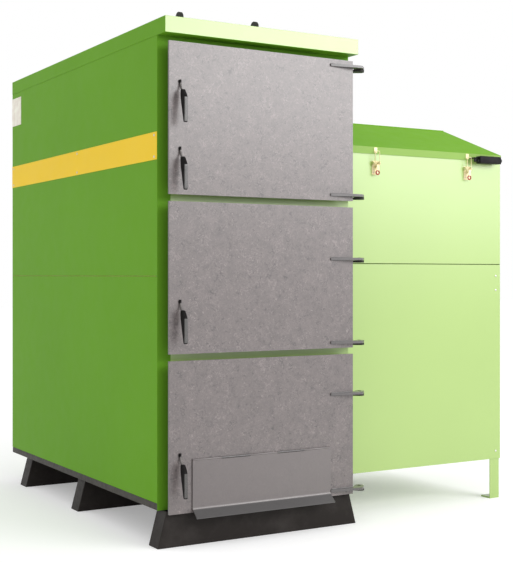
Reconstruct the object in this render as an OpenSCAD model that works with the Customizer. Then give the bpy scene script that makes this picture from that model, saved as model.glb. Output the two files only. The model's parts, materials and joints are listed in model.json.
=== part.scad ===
// Large pellet boiler with three swing doors and a hopper on its right, in millimetres.
// X runs to the right, Y to the back and Z up, and the doors face -Y.
// The origin is on the floor, under the centre of the middle skid.

/* [Boiler casing] */
// Width over the side panels
casing_w = 880; // [860:1:960]
// Distance from the origin to the front sheet
casing_front = 805; // [780:1:860]
// Distance from the origin to the rear panel
casing_rear = 874; // [860:1:960]
// Thickness of the casing sheets
panel_t = 2; // [1.5:0.5:3]
// Gap between the upper and lower side panels
panel_seam = 2; // [1:0.5:4]
// Height of the seam above the middle door's centre
seam_above_door = 6; // [-60:1:60]
// Height of the top cover's skirt
cap_h = 62; // [50:1:80]
// How far the top cover stands in front of the front sheet
cap_reach = 71; // [66:1:90]
// How far the top cover stands out at each side
cap_side = 1; // [0.5:0.5:4]
// Gap between the top door and the cover's underside
cap_clear = 28; // [20:1:40]

/* [Skids and base] */
// Height of the skids
skid_h = 138; // [120:1:160]
// How far a skid's foot stands out beside the casing
skid_spread = 14.5; // [0:0.5:30]
// How far a skid's top ends inside the casing's side
skid_tuck = 22; // [10:1:40]
// Thickness of a skid, front to back
skid_t = 82; // [70:1:110]
// Sheet thickness of the skids
skid_wall = 5; // [4:0.5:8]
// How far the front skid stands in front of the front sheet
skid_lead = 35; // [20:1:60]
// Distance from the rear panel to the rear skid's centre
skid_rear_inset = 201; // [150:1:260]
// Height of the dark band under the side panels
band_h = 27; // [22:1:34]
// Wall of the base tray
tray_t = 5; // [4:0.5:8]

/* [Doors] */
// Distance from the casing's side in to a door's edge
door_margin = 19.5; // [14:0.5:30]
// Height of a door
door_h = 576; // [560:1:620]
// Gap between two doors
door_gap = 26; // [22:1:40]
// Thickness of a door plate
door_t = 10; // [8:0.5:12]
// Distance from the front sheet to a door's face
door_stand = 62; // [58:1:68]
// How far the bottom door reaches below the skids' top
door_drop = 8; // [0:1:12]
// Thickness of the insulating liner on a door's back
liner_t = 72; // [60:1:80]
// Gap all round between a liner and its collar
liner_clear = 14; // [10:1:20]
// Distance from a door's upper and lower edge to the collar's inside
collar_inset = 50; // [40:1:60]
// Thickness of a door collar
collar_t = 12; // [8:0.5:16]
// How far a collar stands in front of the front sheet
collar_reach = 40; // [36:1:44]
// Gap between the rope seal and the door
seal_gap = 0.3; // [0.2:0.1:0.5]

/* [Door hinges] */
// Distance from the casing's side to the hinge pins
pin_out = 24; // [22:1:36]
// Distance from the door's face back to the hinge pins
pin_back = 16; // [12:1:20]
// Radius of the hinge pins
pin_r = 8; // [6:0.5:9]
// Running gap round the hinge pins
pin_gap = 0.05; // [0.03:0.01:0.1]
// Thickness of a hinge strap
strap_t = 10; // [8:0.5:12]
// Radius of the strap's round end
strap_end_r = 20; // [17:0.5:22]
// How far a strap stands off the door's face at the door's edge
strap_proud = 28; // [20:1:32]
// Length of a strap along the door's face
strap_len = 112; // [80:1:116]
// How far a strap's tip stands off the door's face
strap_tip = 5; // [2:0.5:8]
// Thickness of a bracket arm
arm_t = 9; // [6:0.5:9.5]
// Gap between a strap and the arm below it
arm_gap = 0.5; // [0.3:0.1:0.5]
// Height of a bracket's base plate
bracket_h = 40; // [34:1:42]
// Width of a bracket's base plate
bracket_w = 42; // [36:1:46]
// Thickness of a bracket's base plate
bracket_t = 6; // [5:0.5:8]
// How far a hinge pin ends above its strap
pin_end = 0.5; // [0.2:0.1:0.5]
// Distance from a door's lower edge up to its lower strap
low_strap_up = 23; // [23:1:48]
// Distance from the top door's upper edge down to its upper strap
top_strap_down = 25; // [23:1:88]
// Distance from the middle door's centre up to its upper strap
middle_strap_rise = 76; // [40:1:240]
// Distance from the bottom door's centre up to its upper strap
bottom_strap_rise = 127; // [40:1:240]

/* [Door handles] */
// Distance from the door's left edge to the handle pivots
handle_inset = 44.5; // [43:0.5:60]
// Height of the top door's upper handle above its centre
top_handle_rise = 135; // [100:1:180]
// Depth of the top door's lower handle below its centre
top_handle_drop = 117; // [80:1:135]
// Depth of the middle door's handle below its centre
middle_handle_drop = 91; // [20:1:120]
// Depth of the bottom door's handle below its centre
bottom_handle_drop = 67; // [20:1:75]
// Radius of a handle's spindle
spindle_r = 7; // [5:0.5:8]
// Width of a handle's head
head_w = 9; // [8:0.5:15]
// Height of a handle's head
head_h = 17; // [14:0.5:20]
// How far a handle's head stands off the door
head_out = 12; // [8:0.5:14]
// Width of a grip
grip_w = 17; // [14:0.5:22]
// Distance from the pivot down to the grip's top
grip_top = 31; // [26:0.5:34]
// Distance from the pivot down to the grip's tip
grip_end = 157; // [134:1:170]
// How far the grip's front stands off the door
grip_out = 52; // [46:1:56]
// How far the back of a lever's tang stands off the door
tang_out = 21; // [20:0.5:23]
// Length of a handle's tongue
tongue_len = 44; // [38:1:46]
// Height of a tongue
tongue_h = 18; // [15:1:20]
// Thickness of a tongue
tongue_t = 8; // [6:0.5:10]
// Gap between a tongue's tip and its keeper
keeper_gap = 2; // [2:0.5:4]

/* [Draught flap] */
// Distance from the door's edges in to the flap, before its shift
flap_inset = 105.5; // [95:0.5:140]
// Height of the flap above its bend
flap_h = 189; // [170:1:195]
// Distance from the bottom door's lower edge to the flap's bend
flap_rise = 14; // [10:1:20]
// How far the flap's centre lies left of the door's centre
flap_left = 9.5; // [0:0.5:11]
// Thickness of the flap
flap_t = 4; // [3:0.5:5]
// How far the lip stands out from the flap
lip_out = 36; // [30:1:60]
// How far the lip drops below the bend
lip_drop = 30; // [20:1:36]
// Radius of the flap's hinge barrel
barrel_r = 3.5; // [3:0.25:4.5]
// Width of the air window behind the flap
window_w = 240; // [160:1:300]
// Height of the air window behind the flap
window_h = 80; // [60:1:86]

/* [Pressure body] */
// Thickness of the insulation behind the side panels
side_lagging = 53; // [48:1:60]
// Thickness of the insulation behind the rear panel
rear_lagging = 82; // [60:1:100]
// Thickness of the water jacket at the sides and rear
jacket_t = 74; // [66:1:80]
// Thickness of the water jacket on top
roof_t = 60; // [50:1:66]
// Thickness of the jacket's inner plates
inner_plate = 8; // [6:0.5:10]
// Thickness of the jacket's outer plates
outer_plate = 6; // [5:0.5:8]
// Thickness of the boiler's front plate
front_plate_t = 12; // [10:0.5:16]
// Thickness of a chamber shelf
shelf_t = 50; // [40:1:60]
// Length of the fire tubes between the outer faces of their plates
tube_len = 1112; // [1000:1:1150]
// Distance from the boiler's front plate to the tubes
tube_set_back = 179; // [140:1:220]
// Thickness of the tube plates
tube_plate_t = 12; // [10:0.5:16]
// Outer radius of a fire tube
tube_r = 28; // [24:0.5:30]
// Wall of a fire tube
tube_wall = 3; // [2:0.5:4]
// Inner radius of the refractory arch
arch_r = 200; // [150:1:220]
// Thickness of the refractory arch
arch_t = 40; // [30:1:45]
// Length of the refractory arch
arch_len = 600; // [400:1:640]

/* [Burner and ash box] */
// Inner radius of the burner bowl's rim
bowl_r = 138; // [120:1:145]
// Wall of the burner's castings
bowl_t = 12; // [10:0.5:14]
// Height of the bowl above its feed pipe
bowl_h = 100; // [80:1:120]
// Height of the bowl's lower end above the auger's axis
neck_h = 110; // [100:1:118]
// Length of the burner's feed pipe from the bowl's axis
retort_reach = 110; // [100:1:120]
// Half width of the air box under the burner
plenum_half = 150; // [140:1:160]
// Height of the burner's deck above the auger's axis
deck_rise = 125; // [118:1:135]
// Thickness of the burner's deck
deck_t = 12; // [10:0.5:14]
// Distance from the bowl's axis to the deck's front edge
deck_reach = 200; // [170:1:210]
// Width and height of the ledges that carry the deck
ledge = 20; // [15:1:20]
// Gap between the ash box and the collar at each side
ash_gap = 19; // [10:1:60]
// Length of the ash box
ash_len = 1300; // [900:1:1350]
// Height of the ash box
ash_h = 60; // [50:1:62]

/* [Rear connections] */
// Outer radius of the flue spigot
flue_r = 125; // [100:1:130]
// How far the flue spigot stands behind the rear panel
flue_reach = 136; // [110:1:180]
// Distance from the top door's centre to the flue's centre
flue_drop = 2; // [-20:1:60]
// Inner radius of the flow and return pipes
pipe_bore = 40.5; // [35:0.5:45]
// Wall of the flow and return pipes
pipe_wall = 4; // [3:0.5:5]
// Radius of a pipe flange
flange_r = 95; // [92:1:100]
// Thickness of a pipe flange
flange_t = 18; // [14:1:20]
// Diameter of a flange's bolt circle
flange_pcd = 150; // [144:1:154]
// Radius of a flange's bolt holes
flange_hole_r = 9; // [7:0.5:10]
// How far the pipe flanges stand behind the rear panel
flange_reach = 106; // [80:1:140]
// Distance from the centre plane to the pipes
pipe_x = 200; // [150:1:230]
// Bore radius of the drain socket
drain_bore = 15; // [10:0.5:17]
// Wall of the drain socket
drain_wall = 6; // [4:0.5:8]

/* [Lifting lugs] */
// Width of a lifting lug
lug_w = 50; // [44:1:60]
// Thickness of a lifting lug
lug_t = 14; // [10:0.5:18]
// Height of a lug above the top cover
lug_h = 120; // [110:1:130]
// Height of a lug's hole above the top cover
lug_hole_h = 50; // [40:1:60]
// Radius of a lug's hole
lug_hole_r = 16; // [12:0.5:17]
// Distance from the centre plane to the lugs
lug_x = 180.5; // [150:0.5:260]
// Distance from the origin to the lugs, front and back
lug_y = 476; // [420:1:560]

/* [Side trim] */
// Height of the side stripe
stripe_h = 106; // [90:1:120]
// Height of the stripe's lower edge above the top door's lower edge
stripe_rise = 134; // [100:1:160]
// Thickness of the stripe
stripe_t = 1.5; // [1:0.5:3]
// Radius of a rivet head
rivet_r = 5; // [3:0.5:7]
// Width of the blank plate
plate_w = 132; // [100:1:150]
// Height of the blank plate
plate_h = 138; // [100:1:150]
// Gap between the blank plate and the top cover
plate_drop = 25; // [10:1:60]
// Thickness of the blank plate
plate_t = 1.5; // [1:0.5:3]

/* [Hopper] */
// Gap between the top cover and the hopper
hopper_gap = 25; // [20:1:60]
// Width of the hopper over its lid
hopper_w = 890; // [860:1:1000]
// Depth of the hopper's casing
hopper_d = 814; // [780:1:900]
// How far the hopper's front lies behind the boiler's front sheet
hopper_set_back = 77; // [60:1:120]
// Clear height under the hopper
stand_h = 182; // [170:1:200]
// Height of the hopper's walls above its floor
wall_h = 1378; // [1300:1:1450]
// Height of the seam in the hopper's front above its floor
front_seam = 897; // [800:1:950]
// Gap in the hopper's front seam
front_gap = 3; // [2:0.5:5]
// Width of a leg's flanges
leg_w = 55; // [45:1:65]
// Thickness of a leg
leg_t = 3; // [2:0.5:5]
// Thickness of a foot pad
pad_t = 8; // [4:1:10]
// How far the left leg stands behind the right one
left_leg_back = 80; // [0:1:150]
// Distance from the hopper's left wall to the rear foot
rear_foot_in = 150; // [100:1:160]
// Width of the rear foot
rear_foot_w = 400; // [300:1:410]
// Height of the funnel's upper edge above the hopper's floor
funnel_h = 820; // [700:1:860]
// Thickness of the funnel plates
funnel_t = 3; // [2:0.5:4]

/* [Hopper lid] */
// Height of the lid's flanges
lip_h = 31; // [26:1:36]
// How far the lid's flanges overlap the hopper's walls
lip_lap = 8; // [5:1:12]
// Height of the ridge above the lid's front edge
roof_rise = 157; // [140:1:180]
// Sheet thickness of the lid and roof
lid_t = 2; // [1.5:0.5:3]
// Gap between the lid's flanges and the walls
lid_clear = 1; // [0.5:0.5:2]
// Radius of the ridge hinge's barrel
ridge_r = 4; // [3.5:0.25:5]
// Radius of the ridge hinge's pin
ridge_pin_r = 2; // [1.5:0.25:2]
// Number of hinge barrels along the ridge
ridge_barrels = 9; // [5:2:15]

/* [Toggle latches] */
// Distance from the hopper's ends in to the latches
latch_inset = 187.5; // [150:0.5:240]
// Shift of both latches along the hopper
latch_shift = -17.5; // [-20:0.5:10]
// Distance from the lid flange's lower edge to the latch pivot
latch_drop = 40; // [36:1:46]
// Width of a latch's base plate
latch_w = 36; // [34:1:44]
// Height of a latch's base plate
latch_h = 60; // [56:1:64]
// Distance from the latch pivot up to the base plate's top
latch_top = 11; // [9:1:13]
// How far the latch pivot stands off the front panel
latch_out = 12; // [11:0.5:14]
// Length of a lever below its pivot
lever_len = 32; // [28:1:40]
// Outer radius of a lever's finger ring
ring_r = 11; // [7:0.5:12]
// Radius of the bail's wire
bail_r = 1.5; // [1.25:0.25:1.75]
// Length of the bail from its ends to its bar
bail_len = 64; // [60:1:68]

/* [Lid switch] */
// Length of the switch body
switch_len = 124; // [100:1:128]
// Height of the switch body
switch_h = 32; // [26:1:34]
// Depth of the switch body
switch_d = 30; // [24:1:34]
// How far the switch body stands off the front panel
switch_out = 15; // [14:1:18]
// Distance from the hopper's right end in to the switch body
switch_inset = 38; // [30:1:42]

/* [Feed] */
// Height of the auger's axis above the hopper's floor
auger_rise = 148; // [140:1:160]
// Outer radius of the auger tube
auger_tube_r = 80; // [70:1:82]
// Wall of the auger tube
auger_wall = 4; // [3:0.5:5]
// Gap between the flight and the tube
flight_clear = 6; // [4:0.5:8]
// Radius of the auger's shaft
shaft_r = 18; // [14:0.5:22]
// Pitch of the auger's flight
flight_pitch = 160; // [120:1:200]
// Thickness of the flight
flight_t = 8; // [6:0.5:10]
// Radius of the blower's housing
blower_r = 110; // [90:1:115]
// Depth of the blower's housing
blower_d = 60; // [50:1:66]
// Height of the air duct
duct_h = 50; // [40:1:54]
// Width of the air duct
duct_w = 60; // [50:1:60]
// Height of the air duct above the auger's axis
duct_rise = 53; // [50:1:56]
// Distance from the auger's axis back to the air duct's rear face
duct_behind = 316; // [308:1:320]
// Distance from the hopper's left end to the blower's axis
blower_in = 294; // [270:1:320]
// Length of the gearbox along the auger
gear_w = 110; // [90:1:120]
// Width of the gearbox across the auger
gear_d = 160; // [150:1:170]
// Depth of the gearbox below the auger's axis
gear_drop = 85; // [70:1:90]
// Gap between the gearbox and the hopper's end wall
gear_gap = 51; // [40:1:60]
// Length of the auger's motor
motor_len = 170; // [120:1:180]
// Radius of the auger's motor
motor_r = 50; // [40:1:52]
// Radius of the blower's motor
fan_motor_r = 45; // [36:1:50]
// Length of the blower's motor
fan_motor_len = 66; // [50:1:72]
// Radius of the blower's inlet
inlet_r = 45; // [36:1:52]

/* [Hidden] */
$fn = 48;

casing_green = [0.44, 0.61, 0.23];
door_grey = [0.60, 0.57, 0.55];
dark_grey = [0.24, 0.23, 0.22];
near_black = [0.10, 0.10, 0.10];
bare_steel = [0.66, 0.67, 0.68];
mill_steel = [0.40, 0.40, 0.42];
stripe_yellow = [0.91, 0.78, 0.27];

// Small amount by which a cutter passes the face that it cuts
cut = 1;
// Gap between loose faces that rest on each other
rest_gap = 0.3;
// Clearance of a hole round a pipe that passes through it
pipe_clear = 1;

// Planes of the boiler
hw = casing_w/2;
door_w = casing_w - 2*door_margin;
collar_in_h = door_h - 2*collar_inset;
skid_foot_w = casing_w + 2*skid_spread;
skid_top_w = casing_w - 2*skid_tuck;
fy = -casing_front;
ry = casing_rear;
band_top = skid_h + band_h;
door_face = fy - door_stand;
door_back = door_face + door_t;
door_z0 = skid_h - door_drop;
function door_mid(i) = door_z0 + door_h/2 + i*(door_h + door_gap);
cap_bottom = door_z0 + 3*door_h + 2*door_gap + cap_clear;
cap_top = cap_bottom + cap_h;
seam_z = door_mid(1) + seam_above_door;

// Pressure body
jacket_x = hw - panel_t - side_lagging;
chamber_x = jacket_x - jacket_t;
plate_y0 = fy + panel_t;
jacket_y0 = plate_y0 + front_plate_t;
jacket_y1 = ry - panel_t - rear_lagging;
chamber_y1 = jacket_y1 - jacket_t;
floor_z = door_mid(0) - collar_in_h/2;
roof_z0 = door_mid(2) + collar_in_h/2 + inner_plate/4;
roof_z1 = roof_z0 + roof_t;
floor_plate_t = 8;
floor_rib_count = 5;
shelf_z = [for (i = [0, 1]) (door_mid(i) + door_mid(i + 1) - shelf_t)/2];
collar_x = chamber_x - collar_t;
collar_out_h = collar_in_h + 2*collar_t;
liner_x = collar_x - liner_clear;
liner_z = collar_in_h/2 - liner_clear;
tube_y0 = jacket_y0 + tube_set_back;
tube_columns = 6;
tube_rows = 6;
tube_step_x = 2*(chamber_x - tube_r)/tube_columns;
tube_zone_z0 = shelf_z[1] + shelf_t;
tube_step_z = (roof_z0 - tube_zone_z0)/tube_rows;

// Hinge pins and handles
pin_x = hw + pin_out;
pin_y = door_face + pin_back;
handle_x = -door_w/2 + handle_inset;
strap_rise = [bottom_strap_rise, middle_strap_rise, door_h/2 - top_strap_down];
strap_z = [for (i = [0:2]) each [door_mid(i) + strap_rise[i], door_mid(i) - door_h/2 + low_strap_up]];
top_upper_z = door_mid(2) + top_handle_rise;
top_lower_z = door_mid(2) - top_handle_drop;
middle_z = door_mid(1) - middle_handle_drop;
bottom_z = door_mid(0) - bottom_handle_drop;
handle_z = [top_upper_z, top_lower_z, middle_z, bottom_z];
tongue_y1 = fy - collar_reach + 13;
tongue_y0 = tongue_y1 - tongue_t;

// Flap
bend_z = door_z0 + flap_rise;
flap_y = door_face - rest_gap - barrel_r;
flap_pin_z = bend_z + flap_h - barrel_r;
flap_pin_r = barrel_r/2;
flap_w = door_w - 2*flap_inset;
flap_x0 = -flap_left - flap_w/2;
flap_knuckles = 5;
window_z0 = bend_z + 70;

// Hopper
hx0 = hw + cap_side + hopper_gap;
hx1 = hx0 + hopper_w;
hxm = (hx0 + hx1)/2;
hy0 = fy + hopper_set_back;
hy1 = hy0 + hopper_d;
hz0 = stand_h;
wall_top = hz0 + wall_h;
lip_bottom = wall_top - lip_lap;
eave_z = lip_bottom + lip_h;
ridge_y = (hy0 + hy1)/2;
ridge_z = eave_z + roof_rise;
lid_lap = lid_t + lid_clear;
lid_y0 = hy0 - lid_lap;
lid_y1 = hy1 + lid_lap;
roof_slope = roof_rise/(ridge_y - lid_y0);
wall_x0 = hx0 + lid_lap;
wall_x1 = hx1 - lid_lap;
in_x0 = wall_x0 + panel_t;
in_x1 = wall_x1 - panel_t;
ridge_pin_z = ridge_z - 1;
ridge_gap = 3;
knuckle_len = (wall_x1 - wall_x0)/ridge_barrels;

// Feed
auger_z = hz0 + auger_rise;
auger_y = ridge_y;
flight_r = auger_tube_r - auger_wall - flight_clear;
burner_y = auger_y;
tube_x0 = retort_reach;
tube_x1 = in_x1 - gear_gap - gear_w;
slot_half = auger_tube_r - 15;
shaft_x1 = tube_x1 + gear_w - 12;
duct_y1 = burner_y + duct_behind;
duct_z0 = auger_z + duct_rise;
duct_wall = 3;
plenum_z0 = duct_z0 - duct_wall;
deck_z = auger_z + deck_rise;
blower_x = hx0 + blower_in;
blower_z = duct_z0 + duct_h - blower_r;

// Latches
latch_pos = [hx0 + latch_inset + latch_shift, hx1 - latch_inset + latch_shift];
latch_z = lip_bottom - latch_drop;
latch_y = hy0 - latch_out;
latch_t = 2;
bail_dy = -6;
bail_dz = -12;
bail_half = latch_w/2 - 6.5;
lever_half = bail_half - bail_r - 2;
lever_face = 10;
latch_pin_r = 1.5;

// Switch
switch_x1 = hx1 - switch_inset;
switch_x0 = switch_x1 - switch_len;
switch_z = lip_bottom + 2;
switch_y1 = hy0 - switch_out;
switch_y0 = switch_y1 - switch_d;
switch_pivot_x = switch_x0 - 6;
roller_x = switch_x0 - 18;
switch_arm_y = switch_y1 - switch_d/2;
arm_z = switch_z - 6;

// A block between two corners
module block(lo, hi) {
    translate(lo) cube(hi - lo);
}

// Rods along the three axes
module rod_x(x0, x1, r, y, z) {
    translate([x0, y, z]) rotate([0, 90, 0]) cylinder(r = r, h = x1 - x0);
}

module rod_y(y0, y1, r, x, z) {
    translate([x, y0, z]) rotate([-90, 0, 0]) cylinder(r = r, h = y1 - y0);
}

module rod_z(z0, z1, r, x, y) {
    translate([x, y, z0]) cylinder(r = r, h = z1 - z0);
}

// A Y-Z outline carried along X
module along_x(x0, x1) {
    translate([x0, 0, 0]) rotate([90, 0, 90]) linear_extrude(x1 - x0) children();
}

// An X-Z outline carried along Y
module along_y(y0, y1) {
    translate([0, y1, 0]) rotate([90, 0, 0]) linear_extrude(y1 - y0) children();
}

// An X-Y outline carried along Z
module along_z(z0, z1) {
    translate([0, 0, z0]) linear_extrude(z1 - z0) children();
}

// What passes through the right side of the boiler, grown by a clearance
module feed_passage(x0, x1, grow) {
    rod_x(x0, x1, auger_tube_r + grow, auger_y, auger_z);
    block([x0, duct_y1 - duct_w - grow, duct_z0 - grow],
        [x1, duct_y1 + grow, duct_z0 + duct_h + grow]);
}

// What passes through the rear of the boiler, grown by a clearance
flue_z = door_mid(2) - flue_drop;
flow_z = door_mid(2) + 178;
return_z = door_mid(0) - 18;
drain_z = floor_z + 50;
module rear_passage(y0, y1, grow) {
    rod_y(y0, y1, flue_r + grow, 0, flue_z);
    for (z = [flow_z, return_z]) rod_y(y0, y1, pipe_bore + pipe_wall + grow, -pipe_x, z);
    rod_y(y0, y1, drain_bore + drain_wall + grow, pipe_x, drain_z);
}

// Skids and base

module skid(y) {
    lean = (skid_foot_w - skid_top_w)/2/skid_h;
    inset = skid_wall*sqrt(1 + lean*lean);
    function half(z) = skid_foot_w/2 - lean*z;
    inner_low = half(skid_wall) - inset;
    inner_high = half(skid_h + cut) - inset;
    difference() {
        along_y(y - skid_t/2, y + skid_t/2)
            polygon([[-half(0), 0], [half(0), 0], [half(skid_h), skid_h], [-half(skid_h), skid_h]]);
        along_y(y - skid_t/2 + skid_wall, y + skid_t/2 - skid_wall)
            polygon([[-inner_low, skid_wall], [inner_low, skid_wall],
                [inner_high, skid_h + cut], [-inner_high, skid_h + cut]]);
    }
}

module skids() {
    color(near_black) {
        skid(fy - skid_lead + skid_t/2);
        skid(0);
        skid(ry - skid_rear_inset);
    }
}

module base_tray() {
    x = hw - panel_t/2;
    color(dark_grey) difference() {
        block([-x, plate_y0, skid_h], [x, ry, band_top]);
        block([-x + tray_t, plate_y0 + tray_t, skid_h + tray_t],
            [x - tray_t, ry - tray_t, band_top + cut]);
    }
}

// Pressure body

// A hollow shelf, open at its ends, with a framed hole from lo to hi
module shelf(z, lo, hi) {
    difference() {
        block([-chamber_x, jacket_y0, z], [chamber_x, chamber_y1, z + shelf_t]);
        difference() {
            block([-chamber_x - cut, jacket_y0 + inner_plate, z + inner_plate],
                [chamber_x + cut, chamber_y1 - inner_plate, z + shelf_t - inner_plate]);
            block([lo[0] - inner_plate, lo[1] - inner_plate, z],
                [hi[0] + inner_plate, hi[1] + inner_plate, z + shelf_t]);
        }
        block([lo[0], lo[1], z - cut], [hi[0], hi[1], z + shelf_t + cut]);
    }
}

module chamber_shelves() {
    rib_z = skid_h + tray_t;
    rib_step = (jacket_x*2 - floor_plate_t)/(floor_rib_count - 1);
    throat = arch_r - ledge;
    slot_x = chamber_x - 61;
    color(mill_steel) {
        block([-jacket_x, jacket_y0, floor_z - floor_plate_t], [jacket_x, jacket_y1, floor_z]);
        for (i = [0:floor_rib_count - 1])
            translate([-jacket_x + i*rib_step, jacket_y0, rib_z])
                cube([floor_plate_t, jacket_y1 - jacket_y0, floor_z - floor_plate_t - rib_z]);
        shelf(shelf_z[0], [-throat, burner_y - throat], [throat, burner_y + throat]);
        shelf(shelf_z[1], [-slot_x, tube_y0 + tube_len + inner_plate],
            [slot_x, chamber_y1 - 2*inner_plate]);
    }
}

// A hollow jacket wall at the right, open towards the rear
module side_wall() {
    z1 = roof_z0 - rest_gap;
    difference() {
        block([chamber_x, jacket_y0, floor_z], [jacket_x, chamber_y1 - rest_gap, z1]);
        block([chamber_x + inner_plate, jacket_y0 + inner_plate, floor_z + inner_plate],
            [jacket_x - outer_plate, chamber_y1 + cut, z1 - inner_plate]);
    }
}

// Left wall, roof and the ledges that carry the burner's deck
module water_walls() {
    color(mill_steel) {
        mirror([1, 0, 0]) side_wall();
        difference() {
            block([-jacket_x, jacket_y0, roof_z0], [jacket_x, jacket_y1, roof_z1]);
            block([-jacket_x + outer_plate, jacket_y0 + inner_plate, roof_z0 + inner_plate],
                [jacket_x - outer_plate, jacket_y1 - outer_plate, roof_z1 - outer_plate]);
            block([-chamber_x, chamber_y1 + inner_plate, roof_z0 - cut],
                [-chamber_x + 60, jacket_y1 - outer_plate, roof_z0 + inner_plate + cut]);
        }
        for (s = [0, 1]) mirror([s, 0, 0])
            block([chamber_x - ledge, burner_y - deck_reach - ledge, deck_z - ledge],
                [chamber_x - rest_gap, burner_y + deck_reach + ledge, deck_z]);
    }
}

// Right wall with the feed's way in, and rear wall with the flue's way out
module pierced_walls() {
    z1 = roof_z0 - rest_gap;
    mouth_x = [chamber_x + inner_plate, jacket_x - outer_plate];
    color(mill_steel) {
        difference() {
            union() {
                side_wall();
                feed_passage(chamber_x, jacket_x, pipe_clear + inner_plate);
            }
            feed_passage(chamber_x - cut, jacket_x + cut, pipe_clear);
        }
        difference() {
            block([-jacket_x, chamber_y1, floor_z], [jacket_x, jacket_y1, z1]);
            difference() {
                block([-jacket_x + outer_plate, chamber_y1 + inner_plate, floor_z + inner_plate],
                    [jacket_x - outer_plate, jacket_y1 - outer_plate, z1 - inner_plate]);
                rod_y(chamber_y1, jacket_y1, flue_r + pipe_clear + inner_plate, 0, flue_z);
            }
            for (s = [-1, 1])
                translate([s*(mouth_x[0] + mouth_x[1])/2, chamber_y1 + inner_plate/2,
                    (floor_z + roof_z0)/2])
                    cube([mouth_x[1] - mouth_x[0], inner_plate + 2*cut,
                        roof_z0 - floor_z - 3*inner_plate], center = true);
            block([-chamber_x, chamber_y1 + inner_plate, z1 - inner_plate - cut],
                [-chamber_x + 60, jacket_y1 - outer_plate, z1 + cut]);
            rod_y(chamber_y1 - cut, jacket_y1 + cut, flue_r + pipe_clear, 0, flue_z);
            for (z = [flow_z, return_z])
                rod_y(jacket_y1 - outer_plate - cut, jacket_y1 + cut, pipe_bore + 2, -pipe_x, z);
            rod_y(jacket_y1 - outer_plate - cut, jacket_y1 + cut, drain_bore + 2, pipe_x, drain_z);
        }
    }
}

module front_plate() {
    color(mill_steel) difference() {
        union() {
            block([-hw + panel_t, plate_y0, band_top], [hw - panel_t, jacket_y0, roof_z1]);
            for (i = [0:2])
                block([-chamber_x, fy - collar_reach, door_mid(i) - collar_out_h/2],
                    [chamber_x, plate_y0 + cut, door_mid(i) + collar_out_h/2]);
        }
        for (i = [0:2])
            block([-collar_x, fy - collar_reach - cut, door_mid(i) - collar_in_h/2],
                [collar_x, jacket_y0 + cut, door_mid(i) + collar_in_h/2]);
    }
}

// Places a child at each fire tube's axis
module at_tubes() {
    for (i = [0:tube_columns - 1], j = [0:tube_rows - 1])
        translate([(i - (tube_columns - 1)/2)*tube_step_x, tube_y0,
            tube_zone_z0 + (j + 0.5)*tube_step_z]) children();
}

module tube_bundle() {
    color(mill_steel) difference() {
        union() {
            for (y = [tube_y0, tube_y0 + tube_len - tube_plate_t])
                block([-chamber_x, y, tube_zone_z0], [chamber_x, y + tube_plate_t, roof_z0]);
            at_tubes() rotate([-90, 0, 0]) cylinder(r = tube_r, h = tube_len);
        }
        at_tubes() translate([0, -cut, 0]) rotate([-90, 0, 0])
            cylinder(r = tube_r - tube_wall, h = tube_len + 2*cut);
    }
}

module turbulators() {
    strip_t = 2;
    half = tube_r - tube_wall - rest_gap - strip_t/3;
    color(bare_steel) at_tubes()
        translate([0, tube_len - 40, 0]) rotate([90, 0, 0]) linear_extrude(tube_len - 60)
            polygon([[-half, 0], [-strip_t/2, 0], [-strip_t/2, -half/2], [strip_t/2, -half/2],
                [strip_t/2, 0], [half, 0], [half, strip_t], [strip_t/2, strip_t],
                [strip_t/2, half/2], [-strip_t/2, half/2], [-strip_t/2, strip_t],
                [-half, strip_t]]);
}

module refractory_arch() {
    base = shelf_z[0] + shelf_t;
    color([0.78, 0.70, 0.58]) difference() {
        rod_y(burner_y - arch_len/2, burner_y + arch_len/2, arch_r + arch_t, 0, base);
        rod_y(burner_y - arch_len/2 - cut, burner_y + arch_len/2 + cut, arch_r, 0, base);
        block([-arch_r - arch_t - cut, burner_y - arch_len, base - arch_r - arch_t - cut],
            [arch_r + arch_t + cut, burner_y + arch_len, base]);
    }
}

// Feed pipe, elbow, neck and bowl of the burner with the given radii
module retort_shape(pipe_r, top_r, over) {
    rod_x(0, retort_reach + over, pipe_r, burner_y, auger_z);
    translate([0, burner_y, auger_z]) sphere(r = pipe_r);
    rod_z(auger_z, auger_z + neck_h + over/100, pipe_r, 0, burner_y);
    translate([0, burner_y, auger_z + neck_h])
        cylinder(r1 = pipe_r, r2 = top_r, h = bowl_h + over/100);
}

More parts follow.
